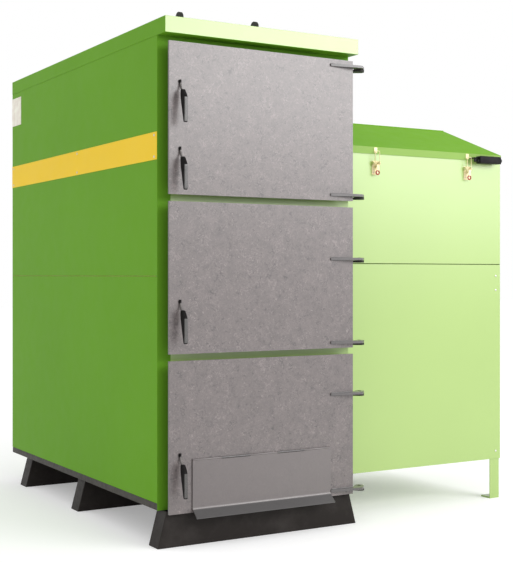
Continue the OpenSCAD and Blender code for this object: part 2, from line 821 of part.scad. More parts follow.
// The casting, the air box under it and the deck round it
module burner_retort() {
    pipe_r = auger_tube_r + 5;
    bore_r = auger_tube_r - auger_wall;
    plenum_wall = 5;
    plenum_y0 = burner_y - plenum_half;
    plenum_y1 = duct_y1 + plenum_wall;
    air_holes = 12;
    hole_r = 5;
    color([0.30, 0.29, 0.28]) {
        difference() {
            retort_shape(pipe_r, bowl_r + bowl_t, 0);
            retort_shape(bore_r, bowl_r, cut);
            for (i = [0:air_holes - 1])
                translate([0, burner_y, deck_z - 2*hole_r - cut]) rotate([0, 90, i*360/air_holes])
                    translate([0, 0, bore_r - 2*hole_r]) cylinder(r = hole_r, h = 2*bowl_t + 2*hole_r);
        }
        difference() {
            block([-plenum_half, plenum_y0, plenum_z0], [plenum_half, plenum_y1, deck_z - rest_gap]);
            block([-plenum_half + plenum_wall, plenum_y0 + plenum_wall, plenum_z0 + plenum_wall],
                [plenum_half - plenum_wall, plenum_y1 - plenum_wall, deck_z]);
            rod_x(0, plenum_half + cut, pipe_r + rest_gap, burner_y, auger_z);
            translate([0, burner_y, auger_z]) sphere(r = pipe_r + rest_gap);
            rod_z(auger_z, auger_z + neck_h, pipe_r + rest_gap, 0, burner_y);
            block([plenum_half - plenum_wall - cut, duct_y1 - duct_w + duct_wall, duct_z0 + duct_wall],
                [plenum_half + cut, duct_y1 - duct_wall, duct_z0 + duct_h - duct_wall]);
        }
        difference() {
            block([-chamber_x + rest_gap, burner_y - deck_reach, deck_z],
                [chamber_x - rest_gap, plenum_y1, deck_z + deck_t]);
            translate([0, burner_y, auger_z + neck_h])
                cylinder(r1 = pipe_r + 2*rest_gap, r2 = bowl_r + bowl_t + 2*rest_gap, h = bowl_h);
        }
    }
}

module ash_box() {
    ash_w = 2*(collar_x - ash_gap);
    wall = 3;
    y0 = door_back + liner_t + 10;
    z0 = floor_z + rest_gap;
    color(mill_steel) union() {
        difference() {
            block([-ash_w/2, y0, z0], [ash_w/2, y0 + ash_len, z0 + ash_h]);
            block([-ash_w/2 + wall, y0 + wall, z0 + wall],
                [ash_w/2 - wall, y0 + ash_len - wall, z0 + ash_h + cut]);
        }
        block([-60, y0 + wall - 0.01, z0 + ash_h - wall], [60, y0 + 30, z0 + ash_h]);
    }
}

module insulation() {
    roof_top = cap_top - panel_t;
    lug_clear = rest_gap;
    color([0.86, 0.80, 0.62]) {
        block([-hw + panel_t, jacket_y0, band_top], [-jacket_x, jacket_y1, roof_z1]);
        difference() {
            block([jacket_x, jacket_y0, band_top], [hw - panel_t, jacket_y1, roof_z1]);
            feed_passage(jacket_x - cut, hw + cut, pipe_clear);
        }
        difference() {
            block([-hw + panel_t, jacket_y1, band_top], [hw - panel_t, ry - panel_t, roof_z1]);
            rear_passage(jacket_y1 - cut, ry + cut, 26);
        }
        difference() {
            block([-hw + panel_t, jacket_y0, roof_z1], [hw - panel_t, ry - panel_t, roof_top]);
            for (sx = [-1, 1], sy = [-1, 1])
                translate([sx*lug_x - lug_t/2 - lug_clear, sy*lug_y - lug_w/2 - lug_clear, roof_z1 - cut])
                    cube([lug_t + 2*lug_clear, lug_w + 2*lug_clear, roof_top - roof_z1 + 2*cut]);
        }
    }
}

module door_seals() {
    y0 = door_back + seal_gap;
    color([0.80, 0.78, 0.72]) for (i = [0:2]) difference() {
        block([-chamber_x, y0, door_mid(i) - collar_out_h/2],
            [chamber_x, fy - collar_reach, door_mid(i) + collar_out_h/2]);
        block([-collar_x, y0 - cut, door_mid(i) - collar_in_h/2],
            [collar_x, fy - collar_reach + cut, door_mid(i) + collar_in_h/2]);
    }
}

// Casing

module front_casing() {
    color(casing_green) difference() {
        block([-hw, fy, skid_h], [hw, plate_y0, cap_bottom]);
        for (i = [0:2])
            block([-chamber_x - pipe_clear, fy - cut, door_mid(i) - collar_out_h/2 - pipe_clear],
                [chamber_x + pipe_clear, plate_y0 + cut, door_mid(i) + collar_out_h/2 + pipe_clear]);
    }
}

module side_panels(side) {
    for (z = [[band_top, seam_z - panel_seam/2], [seam_z + panel_seam/2, cap_bottom]])
        mirror([side < 0 ? 1 : 0, 0, 0])
            block([hw - panel_t, plate_y0, z[0]], [hw, ry - panel_t, z[1]]);
}

module left_panels() {
    color(casing_green) side_panels(-1);
}

module right_panels() {
    color(casing_green) difference() {
        side_panels(1);
        feed_passage(hw - panel_t - cut, hw + cut, pipe_clear);
    }
}

module rear_panel() {
    color(casing_green) difference() {
        block([-hw, ry - panel_t, band_top], [hw, ry, cap_bottom]);
        rear_passage(ry - panel_t - cut, ry + cut, pipe_clear);
    }
}

module top_cap() {
    x = hw + cap_side;
    y0 = fy - cap_reach;
    slot = pipe_clear/2;
    color(casing_green) difference() {
        union() {
            difference() {
                block([-x, y0, cap_bottom], [x, ry, cap_top]);
                block([-x + panel_t, y0 + panel_t, cap_bottom - cut],
                    [x - panel_t, ry - panel_t, cap_top - panel_t]);
            }
            block([-x, y0, cap_bottom], [x, fy, cap_bottom + panel_t]);
        }
        for (sx = [-1, 1], sy = [-1, 1])
            translate([sx*lug_x - lug_t/2 - slot, sy*lug_y - lug_w/2 - slot, cap_top - panel_t - cut])
                cube([lug_t + 2*slot, lug_w + 2*slot, panel_t + 2*cut]);
    }
}

stripe_z = door_mid(2) - door_h/2 + stripe_rise;
module side_stripe() {
    color(stripe_yellow) block([-hw - stripe_t, plate_y0, stripe_z], [-hw, ry, stripe_z + stripe_h]);
}

module blank_plate() {
    z1 = cap_bottom - plate_drop;
    color([0.93, 0.89, 0.82]) block([-hw - plate_t, ry - plate_w, z1 - plate_h], [-hw, ry, z1]);
}

module casing_fasteners() {
    rivet_h = 2;
    rivet_edge = 12;
    screw_r = 5;
    screw_h = 2.5;
    screw_edge = 30;
    color(bare_steel) {
        for (y = [fy + 25, 1, ry - 25], z = [stripe_z + rivet_edge, stripe_z + stripe_h - rivet_edge])
            rod_x(-hw - stripe_t - rivet_h, -hw - stripe_t, rivet_r, y, z);
        for (x = [hx0 + screw_edge, hx1 - screw_edge], z = [36, front_seam - 118, front_seam - 53])
            rod_y(hy0 - screw_h, hy0, screw_r, x, hz0 + z);
    }
}

module lifting_lugs() {
    z_round = cap_top + lug_h - lug_w/2;
    color(near_black) for (sx = [-1, 1], sy = [-1, 1]) {
        x0 = sx*lug_x - lug_t/2;
        difference() {
            union() {
                block([x0, sy*lug_y - lug_w/2, roof_z1], [x0 + lug_t, sy*lug_y + lug_w/2, z_round]);
                rod_x(x0, x0 + lug_t, lug_w/2, sy*lug_y, z_round);
            }
            rod_x(x0 - cut, x0 + lug_t + cut, lug_hole_r, sy*lug_y, cap_top + lug_hole_h);
        }
    }
}

// Door hinges

module hinge_bracket(z) {
    arm_z1 = z - strap_t/2 - arm_gap;
    arm_z0 = arm_z1 - arm_t;
    base_x = [hw - 2 - bracket_w, hw - 2];
    arm_y = fy - bracket_t;
    r = strap_end_r;
    color(dark_grey) {
        block([base_x[0], arm_y, arm_z0], [base_x[1], fy, arm_z0 + bracket_h]);
        along_z(arm_z0, arm_z1) {
            polygon([[base_x[0], arm_y], [pin_x - r*0.75, pin_y - r*0.66],
                [pin_x + r*0.75, pin_y + r*0.66], [base_x[1], arm_y]]);
            translate([pin_x, pin_y]) circle(r = r);
        }
        rod_z(arm_z0 - pin_end, z + strap_t/2 + pin_end, pin_r, pin_x, pin_y);
    }
}

module hinge_brackets() {
    for (z = strap_z) hinge_bracket(z);
}

module hinge_strap(z) {
    edge = door_w/2;
    r = strap_end_r;
    difference() {
        along_z(z - strap_t/2, z + strap_t/2) {
            polygon([[edge - strap_len, door_face], [edge - strap_len, door_face - strap_tip],
                [edge, door_face - strap_proud],
                [pin_x - 14, door_face - strap_proud], [pin_x + r*0.9, pin_y - r*0.44],
                [pin_x, pin_y], [pin_x - r*0.9, pin_y + r*0.44], [edge, door_face]]);
            translate([pin_x, pin_y]) circle(r = r);
        }
        rod_z(z - strap_t, z + strap_t, pin_r + pin_gap, pin_x, pin_y);
    }
}

module door_keepers() {
    foot_t = 4;
    hook_x = handle_x + tongue_len + keeper_gap;
    hook_y = tongue_y0 - foot_t;
    foot_x = -chamber_x - pipe_clear - 3;
    color(bare_steel) for (z = handle_z) {
        block([foot_x - 30, fy - foot_t, z - 25], [foot_x, fy, z + 25]);
        block([foot_x - foot_t, hook_y - foot_t, z - 14], [foot_x, fy, z + 14]);
        block([hook_x, hook_y - foot_t, z - 14], [foot_x, hook_y, z + 14]);
    }
}

// Rear connections

module flue_outlet() {
    color(dark_grey) difference() {
        union() {
            rod_y(chamber_y1, ry + flue_reach, flue_r, 0, flue_z);
            rod_y(jacket_y1, jacket_y1 + inner_plate, flue_r + 20, 0, flue_z);
            rod_y(ry, ry + 4, flue_r + 12, 0, flue_z);
        }
        rod_y(chamber_y1 - cut, ry + flue_reach + cut, flue_r - 3, 0, flue_z);
    }
}

module water_connections() {
    y1 = ry + flange_reach;
    color(dark_grey) {
        for (z = [flow_z, return_z]) difference() {
            union() {
                rod_y(jacket_y1, y1, pipe_bore + pipe_wall, -pipe_x, z);
                rod_y(y1 - flange_t, y1, flange_r, -pipe_x, z);
            }
            rod_y(jacket_y1 - cut, y1 + cut, pipe_bore, -pipe_x, z);
            for (a = [45:90:315])
                rod_y(y1 - flange_t - cut, y1 + cut, flange_hole_r,
                    -pipe_x + flange_pcd/2*cos(a), z + flange_pcd/2*sin(a));
        }
        difference() {
            rod_y(jacket_y1, ry + 30, drain_bore + drain_wall, pipe_x, drain_z);
            rod_y(jacket_y1 - cut, ry + 30 + cut, drain_bore, pipe_x, drain_z);
        }
    }
}

// Doors

module door_plate(i, handles) {
    difference() {
        union() {
            block([-door_w/2, door_face, door_mid(i) - door_h/2],
                [door_w/2, door_back, door_mid(i) + door_h/2]);
            for (j = [0, 1]) hinge_strap(strap_z[2*i + j]);
        }
        for (z = handles)
            rod_y(door_face - cut, door_back + cut, spindle_r + pin_gap, handle_x, z);
    }
}

module liner(i) {
    block([-liner_x, door_back, door_mid(i) - liner_z],
        [liner_x, door_back + liner_t, door_mid(i) + liner_z]);
}

module air_window(y0, y1) {
    block([-flap_left - window_w/2, y0, window_z0], [-flap_left + window_w/2, y1, window_z0 + window_h]);
}

module top_door() {
    color(door_grey) door_plate(2, [top_upper_z, top_lower_z]);
}

module middle_door() {
    color(door_grey) door_plate(1, [middle_z]);
}

// The bottom door has the air window and the fixed barrels of the flap's hinge
module bottom_door() {
    step = flap_w/flap_knuckles;
    color(door_grey) difference() {
        union() {
            door_plate(0, [bottom_z]);
            for (k = [1:2:flap_knuckles - 2]) {
                x0 = flap_x0 + k*step + rest_gap;
                x1 = flap_x0 + (k + 1)*step - rest_gap;
                rod_x(x0, x1, barrel_r, flap_y, flap_pin_z);
                block([x0, flap_y, flap_pin_z - barrel_r/2], [x1, door_face + cut, flap_pin_z + barrel_r/2]);
            }
            rod_x(flap_x0 + step/2, flap_x0 + flap_w - step/2, flap_pin_r, flap_y, flap_pin_z);
        }
        air_window(door_face - cut, door_back + cut);
    }
}

module top_door_liner() {
    color([0.80, 0.76, 0.68]) liner(2);
}

module middle_door_liner() {
    color([0.80, 0.76, 0.68]) liner(1);
}

module bottom_door_liner() {
    color([0.80, 0.76, 0.68]) difference() {
        liner(0);
        air_window(door_back - cut, door_back + liner_t + cut);
    }
}

// Flap: rolled barrels at the top, a flat leaf and a lip bent outwards
module draught_flap() {
    step = flap_w/flap_knuckles;
    y0 = flap_y - flap_t/2;
    y1 = flap_y + flap_t/2;
    color(door_grey) difference() {
        union() {
            block([flap_x0, y0, bend_z], [flap_x0 + flap_w, y1, flap_pin_z]);
            rod_x(flap_x0, flap_x0 + flap_w, barrel_r, flap_y, flap_pin_z);
            along_x(flap_x0, flap_x0 + flap_w)
                polygon([[y0, bend_z], [y1, bend_z], [y1, bend_z - flap_t*0.6],
                    [y0 - lip_out, bend_z - lip_drop - flap_t], [y0 - lip_out, bend_z - lip_drop]]);
        }
        for (k = [1:2:flap_knuckles - 2])
            block([flap_x0 + k*step, flap_y - barrel_r - cut, flap_pin_z - barrel_r - 2*rest_gap],
                [flap_x0 + (k + 1)*step, flap_y + barrel_r + cut, flap_pin_z + 2*barrel_r]);
        rod_x(flap_x0 + step/2 - rest_gap, flap_x0 + flap_w - step/2 + rest_gap,
            flap_pin_r + pin_gap, flap_y, flap_pin_z);
    }
}

// Handles

// Tang that joins a lever to its grip
module tang(z, over = 0) {
    block([handle_x - 3.5, door_face - tang_out - 8, z - grip_top - 30],
        [handle_x + 3.5, door_face - tang_out, z - grip_top + over]);
}

module lever(z) {
    y0 = door_face - rest_gap;
    tip = tongue_len - tongue_h/2;
    color(bare_steel) {
        block([handle_x - head_w/2, y0 - head_out, z - head_h/2],
            [handle_x + head_w/2, y0, z + head_h/2]);
        rod_y(y0 - cut, tongue_y1, spindle_r, handle_x, z);
        block([handle_x, tongue_y0, z - tongue_h/2], [handle_x + tip, tongue_y1, z + tongue_h/2]);
        rod_y(tongue_y0, tongue_y1, tongue_h/2, handle_x, z);
        rod_y(tongue_y0, tongue_y1, tongue_h/2, handle_x + tip, z);
        along_x(handle_x - 3.5, handle_x + 3.5)
            polygon([[y0 - head_out + 6, z - head_h/2 + cut], [y0 - head_out, z - head_h/2 + cut],
                [door_face - tang_out - 8, z - grip_top], [door_face - tang_out, z - grip_top]]);
        tang(z);
    }
}

module grip(z) {
    back_top = door_face - tang_out + 3;
    front = door_face - grip_out;
    color(near_black) difference() {
        along_x(handle_x - grip_w/2, handle_x + grip_w/2)
            polygon([[back_top, z - grip_top], [back_top - 14, z - grip_top], [front, z - grip_top - 30],
                [front, z - grip_end + 3], [front + 2, z - grip_end], [front + 6, z - grip_end],
                [front + 8, z - grip_end + 4], [back_top, z - grip_top - 33]]);
        tang(z, cut);
    }
}

module top_upper_lever() {
    lever(top_upper_z);
}

module top_upper_grip() {
    grip(top_upper_z);
}

module top_lower_lever() {
    lever(top_lower_z);
}

module top_lower_grip() {
    grip(top_lower_z);
}

module middle_lever() {
    lever(middle_z);
}

module middle_grip() {
    grip(middle_z);
}

module bottom_lever() {
    lever(bottom_z);
}

module bottom_grip() {
    grip(bottom_z);
}

// Hopper casing

module hopper_front() {
    color(casing_green) for (z = [[0, front_seam - front_gap/2], [front_seam + front_gap/2, wall_h]])
        block([wall_x0, hy0, hz0 + z[0]], [wall_x1, hy0 + panel_t, hz0 + z[1]]);
}

// A side wall follows the roof's slope, a little below it
module hopper_side(x0) {
    y0 = hy0 + panel_t;
    y1 = hy1 - panel_t;
    under = lid_t + 2.5;
    eave = eave_z + roof_slope*(y0 - lid_y0) - under;
    along_x(x0, x0 + panel_t)
        polygon([[y0, hz0], [y1, hz0], [y1, eave], [ridge_y, ridge_z - under - ridge_r], [y0, eave]]);
}

module hopper_sides() {
    color(casing_green) {
        difference() {
            hopper_side(wall_x0);
            feed_passage(wall_x0 - cut, in_x0 + cut, pipe_clear/2);
        }
        hopper_side(in_x1);
    }
}

module hopper_rear() {
    color(casing_green) block([wall_x0, hy1 - panel_t, hz0], [wall_x1, hy1, wall_top]);
}

// Half of the gabled roof: a sloped sheet with flanges on three sides; the ridge end stays open
module roof_half() {
    thick = lid_t*sqrt(1 + roof_slope*roof_slope);
    y_end = ridge_y - ridge_gap - 2;
    z_end = eave_z + roof_slope*(y_end - lid_y0);
    difference() {
        along_x(hx0, hx1)
            polygon([[lid_y0, lip_bottom], [lid_y0, eave_z], [y_end, z_end], [y_end, z_end - lip_h]]);
        along_x(hx0 + lid_t, hx1 - lid_t)
            polygon([[lid_y0 + lid_t, lip_bottom - 2*cut], [lid_y0 + lid_t, eave_z + roof_slope*lid_t - thick],
                [y_end + cut, z_end + roof_slope*cut - thick], [y_end + cut, z_end - lip_h - 4*cut]]);
    }
}

// Barrels of the ridge hinge from first in steps of two, with the web that carries each
module ridge_knuckles(first) {
    for (k = [first:2:ridge_barrels - 1]) {
        x0 = wall_x0 + k*knuckle_len + rest_gap;
        x1 = x0 + knuckle_len - 2*rest_gap;
        rod_x(x0, x1, ridge_r, ridge_y, ridge_pin_z);
        along_x(x0, x1)
            polygon([[ridge_y - 12, ridge_z - 12*roof_slope - lid_t - 0.15],
                [ridge_y - 12, ridge_z - 12*roof_slope - 0.2],
                [ridge_y, ridge_pin_z + ridge_r*0.4], [ridge_y, ridge_pin_z - ridge_r*0.6]]);
    }
}

module hopper_lid() {
    color(casing_green) {
        difference() {
            union() {
                roof_half();
                ridge_knuckles(0);
            }
            rod_x(wall_x0 - cut, wall_x1 + cut, ridge_pin_r + pin_gap, ridge_y, ridge_pin_z);
        }
    }
    color(stripe_yellow) for (x = latch_pos) {
        block([x - 8, lid_y0 - latch_t, lip_bottom + 4], [x + 8, lid_y0, eave_z - 3]);
        block([x - 6, lid_y0 - 6, lip_bottom + 6], [x + 6, lid_y0, lip_bottom + 8]);
    }
    color(near_black)
        block([roller_x - 8, switch_arm_y - 6, arm_z + 11.5], [roller_x + 8, lid_y0, arm_z + 15.5]);
}

module hopper_roof() {
    color(casing_green) {
        translate([0, 2*ridge_y, 0]) mirror([0, 1, 0]) roof_half();
        translate([0, 2*ridge_y, 0]) mirror([0, 1, 0]) ridge_knuckles(1);
        rod_x(wall_x0, wall_x1, ridge_pin_r, ridge_y, ridge_pin_z);
    }
}

// A folded leg with its corner at the origin and flanges towards +X and +Y
module leg() {
    cube([leg_w, leg_t, hz0]);
    cube([leg_t, leg_w + 5, hz0]);
    cube([leg_w, leg_w + 5, pad_t]);
}

module hopper_stand() {
    floor_t = 4;
    leg_in = 5;
    clean_w = 120;
    clean_y = hy1 - clean_w;
    foot_x0 = wall_x0 + rear_foot_in;
    foot_x1 = foot_x0 + rear_foot_w;
    foot_y1 = hy1 - leg_t;
    color(casing_green) {
        difference() {
            block([in_x0, hy0 + panel_t, hz0], [in_x1, hy1 - panel_t, hz0 + floor_t]);
            block([hxm - clean_w/2, clean_y - clean_w, hz0 - cut], [hxm + clean_w/2, clean_y, hz0 + floor_t + cut]);
        }
        translate([wall_x0 + leg_in, hy0 + leg_t + left_leg_back, 0]) leg();
        translate([wall_x1 - leg_in, hy0 + leg_t, 0]) mirror([1, 0, 0]) leg();
        block([foot_x0, foot_y1 - leg_t, 0], [foot_x1, foot_y1, hz0]);
        for (x = [foot_x0, foot_x1 - leg_t])
            block([x, foot_y1 - leg_w, 0], [x + leg_t, foot_y1, hz0]);
        block([foot_x0, foot_y1 - leg_w, 0], [foot_x1, foot_y1, pad_t]);
    }
}

// Funnel

// Half width of the space between the sloped plates at height z
throat_half = auger_tube_r - 12;
throat_z = auger_z + 47;
funnel_top = hz0 + funnel_h;
funnel_half = hopper_d/2 - panel_t - rest_gap;
function v_half(z) = throat_half + (z - throat_z)*(funnel_half - throat_half)/(funnel_top - throat_z);

module funnel_plates() {
    end_x = tube_x1 - 10;
    color(bare_steel) {
        for (s = [0, 1]) translate([0, s*2*ridge_y, 0]) mirror([0, s, 0])
            along_x(in_x0 + rest_gap, in_x1 - rest_gap)
                polygon([[ridge_y - v_half(throat_z), throat_z], [ridge_y - v_half(funnel_top), funnel_top],
                    [ridge_y - v_half(funnel_top) + funnel_t, funnel_top],
                    [ridge_y - v_half(throat_z) + funnel_t, throat_z]]);
        intersection() {
            along_y(hy0, hy1)
                polygon([[in_x1 - rest_gap, funnel_top - 160], [in_x1 - rest_gap, funnel_top - 153],
                    [end_x, throat_z + 62], [end_x, throat_z + 36],
                    [end_x + funnel_t, throat_z + 36], [end_x + funnel_t, throat_z + 60]]);
            along_x(in_x0, in_x1)
                polygon([[ridge_y - v_half(throat_z) + funnel_t + rest_gap, throat_z],
                    [ridge_y - v_half(funnel_top) + funnel_t + rest_gap, funnel_top],
                    [ridge_y + v_half(funnel_top) - funnel_t - rest_gap, funnel_top],
                    [ridge_y + v_half(throat_z) - funnel_t - rest_gap, throat_z]]);
        }
    }
}

module auger_tube() {
    end_t = 6;
    color(dark_grey) difference() {
        union() {
            rod_x(tube_x0, tube_x1, auger_tube_r, auger_y, auger_z);
            rod_x(wall_x0 - 5, wall_x0, auger_tube_r + 25, auger_y, auger_z);
        }
        rod_x(tube_x0 - cut, tube_x1 - end_t, auger_tube_r - auger_wall, auger_y, auger_z);
        block([in_x0 + 12, auger_y - slot_half, auger_z], [tube_x1 - 14, auger_y + slot_half, auger_z + 2*auger_tube_r]);
        rod_x(tube_x1 - end_t - cut, tube_x1 + cut, shaft_r + pin_gap, auger_y, auger_z);
    }
}

module auger_screw() {
    x0 = 30;
    x1 = tube_x1 - 26;
    turns = (x1 - x0)/flight_pitch;
    color(bare_steel) {
        rod_x(x0 - 15, shaft_x1, shaft_r, auger_y, auger_z);
        translate([x0, auger_y, auger_z]) rotate([0, 90, 0])
            linear_extrude(x1 - x0, twist = 360*turns, slices = ceil(turns*12), segments = 4)
                translate([shaft_r - 2, -flight_t/2]) square([flight_r - shaft_r + 2, flight_t]);
    }
}

module gearmotor() {
    half = gear_d/2;
    box_z = [auger_z - gear_drop, throat_z - 5];
    floor_top = hz0 + 4;
    foot_t = 12;
    foot_x = [tube_x1 + 10, tube_x1 + gear_w - 10];
    color([0.25, 0.32, 0.40]) difference() {
        union() {
            block([tube_x1, auger_y - half, box_z[0]], [tube_x1 + gear_w, auger_y + half, box_z[1]]);
            block([foot_x[0], auger_y - half, floor_top], [foot_x[1], auger_y - half + foot_t, box_z[0]]);
            block([foot_x[0], auger_y + half - foot_t, floor_top], [foot_x[1], auger_y + half, box_z[0]]);
            rod_y(auger_y - half - motor_len, auger_y - half, motor_r, tube_x1 + gear_w/2,
                auger_z - gear_drop + motor_r + 20);
        }
        rod_x(tube_x1 - cut, shaft_x1 + 2, shaft_r + pin_gap, auger_y, auger_z);
    }
}

// Blower: a drum with a tangential duct at the top, an inlet in front and a motor behind
module blower_housing() {
    y1 = duct_y1;
    y0 = y1 - blower_d;
    wall = duct_wall;
    floor_top = hz0 + 4;
    color(mill_steel) difference() {
        union() {
            rod_y(y0, y1, blower_r, blower_x, blower_z);
            block([150, y1 - duct_w, duct_z0], [blower_x, y1, duct_z0 + duct_h]);
            rod_y(y1, y1 + fan_motor_len, fan_motor_r, blower_x, blower_z);
            block([blower_x - 70, y0 + 8, floor_top], [blower_x + 70, y1 - 8, blower_z - 60]);
        }
        rod_y(y0 + wall, y1 - wall, blower_r - wall, blower_x, blower_z);
        block([150 - cut, y1 - duct_w + wall, duct_z0 + wall], [blower_x, y1 - wall, duct_z0 + duct_h - wall]);
        rod_y(y0 - cut, y0 + wall + cut, inlet_r, blower_x, blower_z);
        rod_y(y1 - wall - cut, y1 + 40, 8 + pin_gap, blower_x, blower_z);
    }
}

module blower_wheel() {
    y1 = duct_y1 - duct_wall - 5;
    y0 = duct_y1 - blower_d + duct_wall + 6;
    r = blower_r - 25;
    blades = 12;
    color(bare_steel) difference() {
        union() {
            rod_y(y1 - 3, y1, r, blower_x, blower_z);
            rod_y(y0 + 6, duct_y1 + 38, 8, blower_x, blower_z);
            rod_y(y1 - 18, y1, 20, blower_x, blower_z);
            for (i = [0:blades - 1])
                translate([blower_x, 0, blower_z]) rotate([0, i*360/blades, 0])
                    translate([r - 32, y0, -1.5]) cube([30, y1 - 2 - y0, 3]);
        }
    }
}

// Toggle latches: base with ears and pin, lever, wire bail

module latch_bases() {
    ear_x = latch_w/2 - latch_t;
    color(stripe_yellow) for (x = latch_pos) {
        block([x - latch_w/2, hy0 - latch_t, latch_z + latch_top - latch_h],
            [x + latch_w/2, hy0, latch_z + latch_top]);
        for (s = [-1, 1])
            translate([x + s*(ear_x + latch_t/2) - latch_t/2, 0, 0]) {
                block([0, latch_y, latch_z - 8], [latch_t, hy0 - latch_t + 0.01, latch_z + 8]);
                rod_x(0, latch_t, 5, latch_y, latch_z);
            }
        rod_x(x - ear_x - cut, x + ear_x + cut, latch_pin_r, latch_y, latch_z);
    }
}

module latch_lever(x) {
    face_y = latch_y - lever_face;
    ring_z = latch_z - lever_len - ring_r + 2;
    color(stripe_yellow) difference() {
        union() {
            block([x - lever_half, face_y, latch_z - lever_len], [x + lever_half, face_y + latch_t, latch_z - 6]);
            for (s = [0, 1]) translate([s*2*x, 0, 0]) mirror([s, 0, 0]) {
                block([x + lever_half - latch_t, face_y, latch_z - 20], [x + lever_half, latch_y + 3, latch_z - 6]);
                block([x + lever_half - latch_t, latch_y - 5, latch_z - 7], [x + lever_half, latch_y + 3, latch_z]);
                rod_x(x + lever_half - latch_t, x + lever_half, 5, latch_y, latch_z);
            }
            rod_y(face_y, face_y + latch_t, ring_r, x, ring_z);
        }
        rod_x(x - latch_w, x + latch_w, latch_pin_r + pin_gap, latch_y, latch_z);
        rod_x(x - latch_w, x + latch_w, bail_r + pin_gap, latch_y + bail_dy, latch_z + bail_dz);
        rod_y(face_y - cut, face_y + latch_t + cut, ring_r - 3.5, x, ring_z);
    }
}

module latch_bail(x) {
    y = latch_y + bail_dy;
    z0 = latch_z + bail_dz;
    z1 = z0 + bail_len;
    color(bare_steel) {
        for (s = [0, 1]) translate([s*2*x, 0, 0]) mirror([s, 0, 0]) {
            rod_z(z0, z1, bail_r, x + bail_half, y);
            rod_x(x + lever_half - latch_t - 1, x + bail_half, bail_r, y, z0);
            translate([x + bail_half, y, z0]) sphere(r = bail_r);
            translate([x + bail_half, y, z1]) sphere(r = bail_r);
        }
        rod_x(x - bail_half, x + bail_half, bail_r, y, z1);
    }
}

module left_latch_lever() {
    latch_lever(latch_pos[0]);
}

module left_latch_bail() {
    latch_bail(latch_pos[0]);
}

module right_latch_lever() {
    latch_lever(latch_pos[1]);
}

module right_latch_bail() {
    latch_bail(latch_pos[1]);
}

// Lid switch: body on a bracket, gland at the right, pivot stub at the left
module lid_switch() {
    gland_r = 11;
    mid_y = switch_arm_y;
    color(near_black) {
        block([switch_x0, switch_y0, switch_z - switch_h/2], [switch_x1, switch_y1, switch_z + switch_h/2]);
        rod_x(switch_x1, switch_x1 + 12, gland_r, mid_y, switch_z);
        block([switch_x0 + 20, switch_y1 - cut, switch_z - switch_h/2], [switch_x1 - 20, hy0, lip_bottom - 6]);
        rod_y(mid_y - 9, mid_y - 4, 6, switch_pivot_x, arm_z);
        block([switch_pivot_x, mid_y - 9, arm_z - 6], [switch_x0 + cut, mid_y - 4, arm_z + 6]);
        rod_y(mid_y - 5, mid_y + 5, 2, switch_pivot_x, arm_z);
    }
}

module switch_lever() {
    x = switch_pivot_x;
    mid_y = switch_arm_y;
    color(near_black) difference() {
        union() {
            rod_y(mid_y - 3.5, mid_y + 3, 5, x, arm_z);
            block([roller_x, mid_y - 3.5, arm_z - 2.5], [x, mid_y + 3, arm_z + 2.5]);
            rod_y(mid_y - 3.5, mid_y + 3, 8, roller_x, arm_z + 3);
        }
        rod_y(mid_y - 6, mid_y + 6, 2 + pin_gap, x, arm_z);
    }
}

skids();
base_tray();
chamber_shelves();
water_walls();
pierced_walls();
front_plate();
tube_bundle();
turbulators();
refractory_arch();
burner_retort();
ash_box();
insulation();
door_seals();
front_casing();
left_panels();
right_panels();
rear_panel();
top_cap();
side_stripe();
casing_fasteners();
blank_plate();
lifting_lugs();
hinge_brackets();
door_keepers();
flue_outlet();
water_connections();
hopper_front();
hopper_sides();
hopper_rear();
hopper_roof();
hopper_stand();
funnel_plates();
auger_tube();
latch_bases();
lid_switch();
gearmotor();
blower_housing();
top_door();
top_door_liner();
middle_door();
middle_door_liner();
bottom_door();
bottom_door_liner();
top_upper_lever();
top_upper_grip();
top_lower_lever();
top_lower_grip();
middle_lever();
middle_grip();
bottom_lever();
bottom_grip();
draught_flap();
hopper_lid();
left_latch_lever();
left_latch_bail();
right_latch_lever();
right_latch_bail();
switch_lever();
auger_screw();
blower_wheel();
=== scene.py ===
# Looks of a pellet boiler with a gabled hopper beside it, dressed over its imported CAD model.
import json
import math

import bmesh
import bpy
import numpy as np
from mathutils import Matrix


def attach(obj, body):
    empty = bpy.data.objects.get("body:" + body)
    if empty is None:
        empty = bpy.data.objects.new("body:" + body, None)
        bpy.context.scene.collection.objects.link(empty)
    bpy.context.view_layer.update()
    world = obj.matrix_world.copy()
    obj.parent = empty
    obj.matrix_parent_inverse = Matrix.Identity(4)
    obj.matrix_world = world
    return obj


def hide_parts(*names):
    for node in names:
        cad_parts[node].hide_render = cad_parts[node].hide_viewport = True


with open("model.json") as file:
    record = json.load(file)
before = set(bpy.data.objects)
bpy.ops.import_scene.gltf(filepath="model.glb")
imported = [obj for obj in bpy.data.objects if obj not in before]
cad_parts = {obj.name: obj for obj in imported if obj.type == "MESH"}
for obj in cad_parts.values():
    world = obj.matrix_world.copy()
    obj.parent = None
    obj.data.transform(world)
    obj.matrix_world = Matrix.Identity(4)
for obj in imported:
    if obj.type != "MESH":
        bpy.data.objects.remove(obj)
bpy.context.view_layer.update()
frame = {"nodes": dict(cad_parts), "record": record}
record = frame["record"]
body_of_node = {n: b for b, names in record["behaviour"]["bodies"].items() for n in names}
slot_of_node = {s["node"]: s["material_slot"] for s in record["subparts"]}

MM = 0.001  # shapes are written in mm, the scene is in metres
FULL_TURN, QUARTER = 2 * math.pi, math.pi / 2
SHARP = 34  # degrees between two faces above which their edge shows as an edge

# Camera, as solved from the photograph's two vanishing points

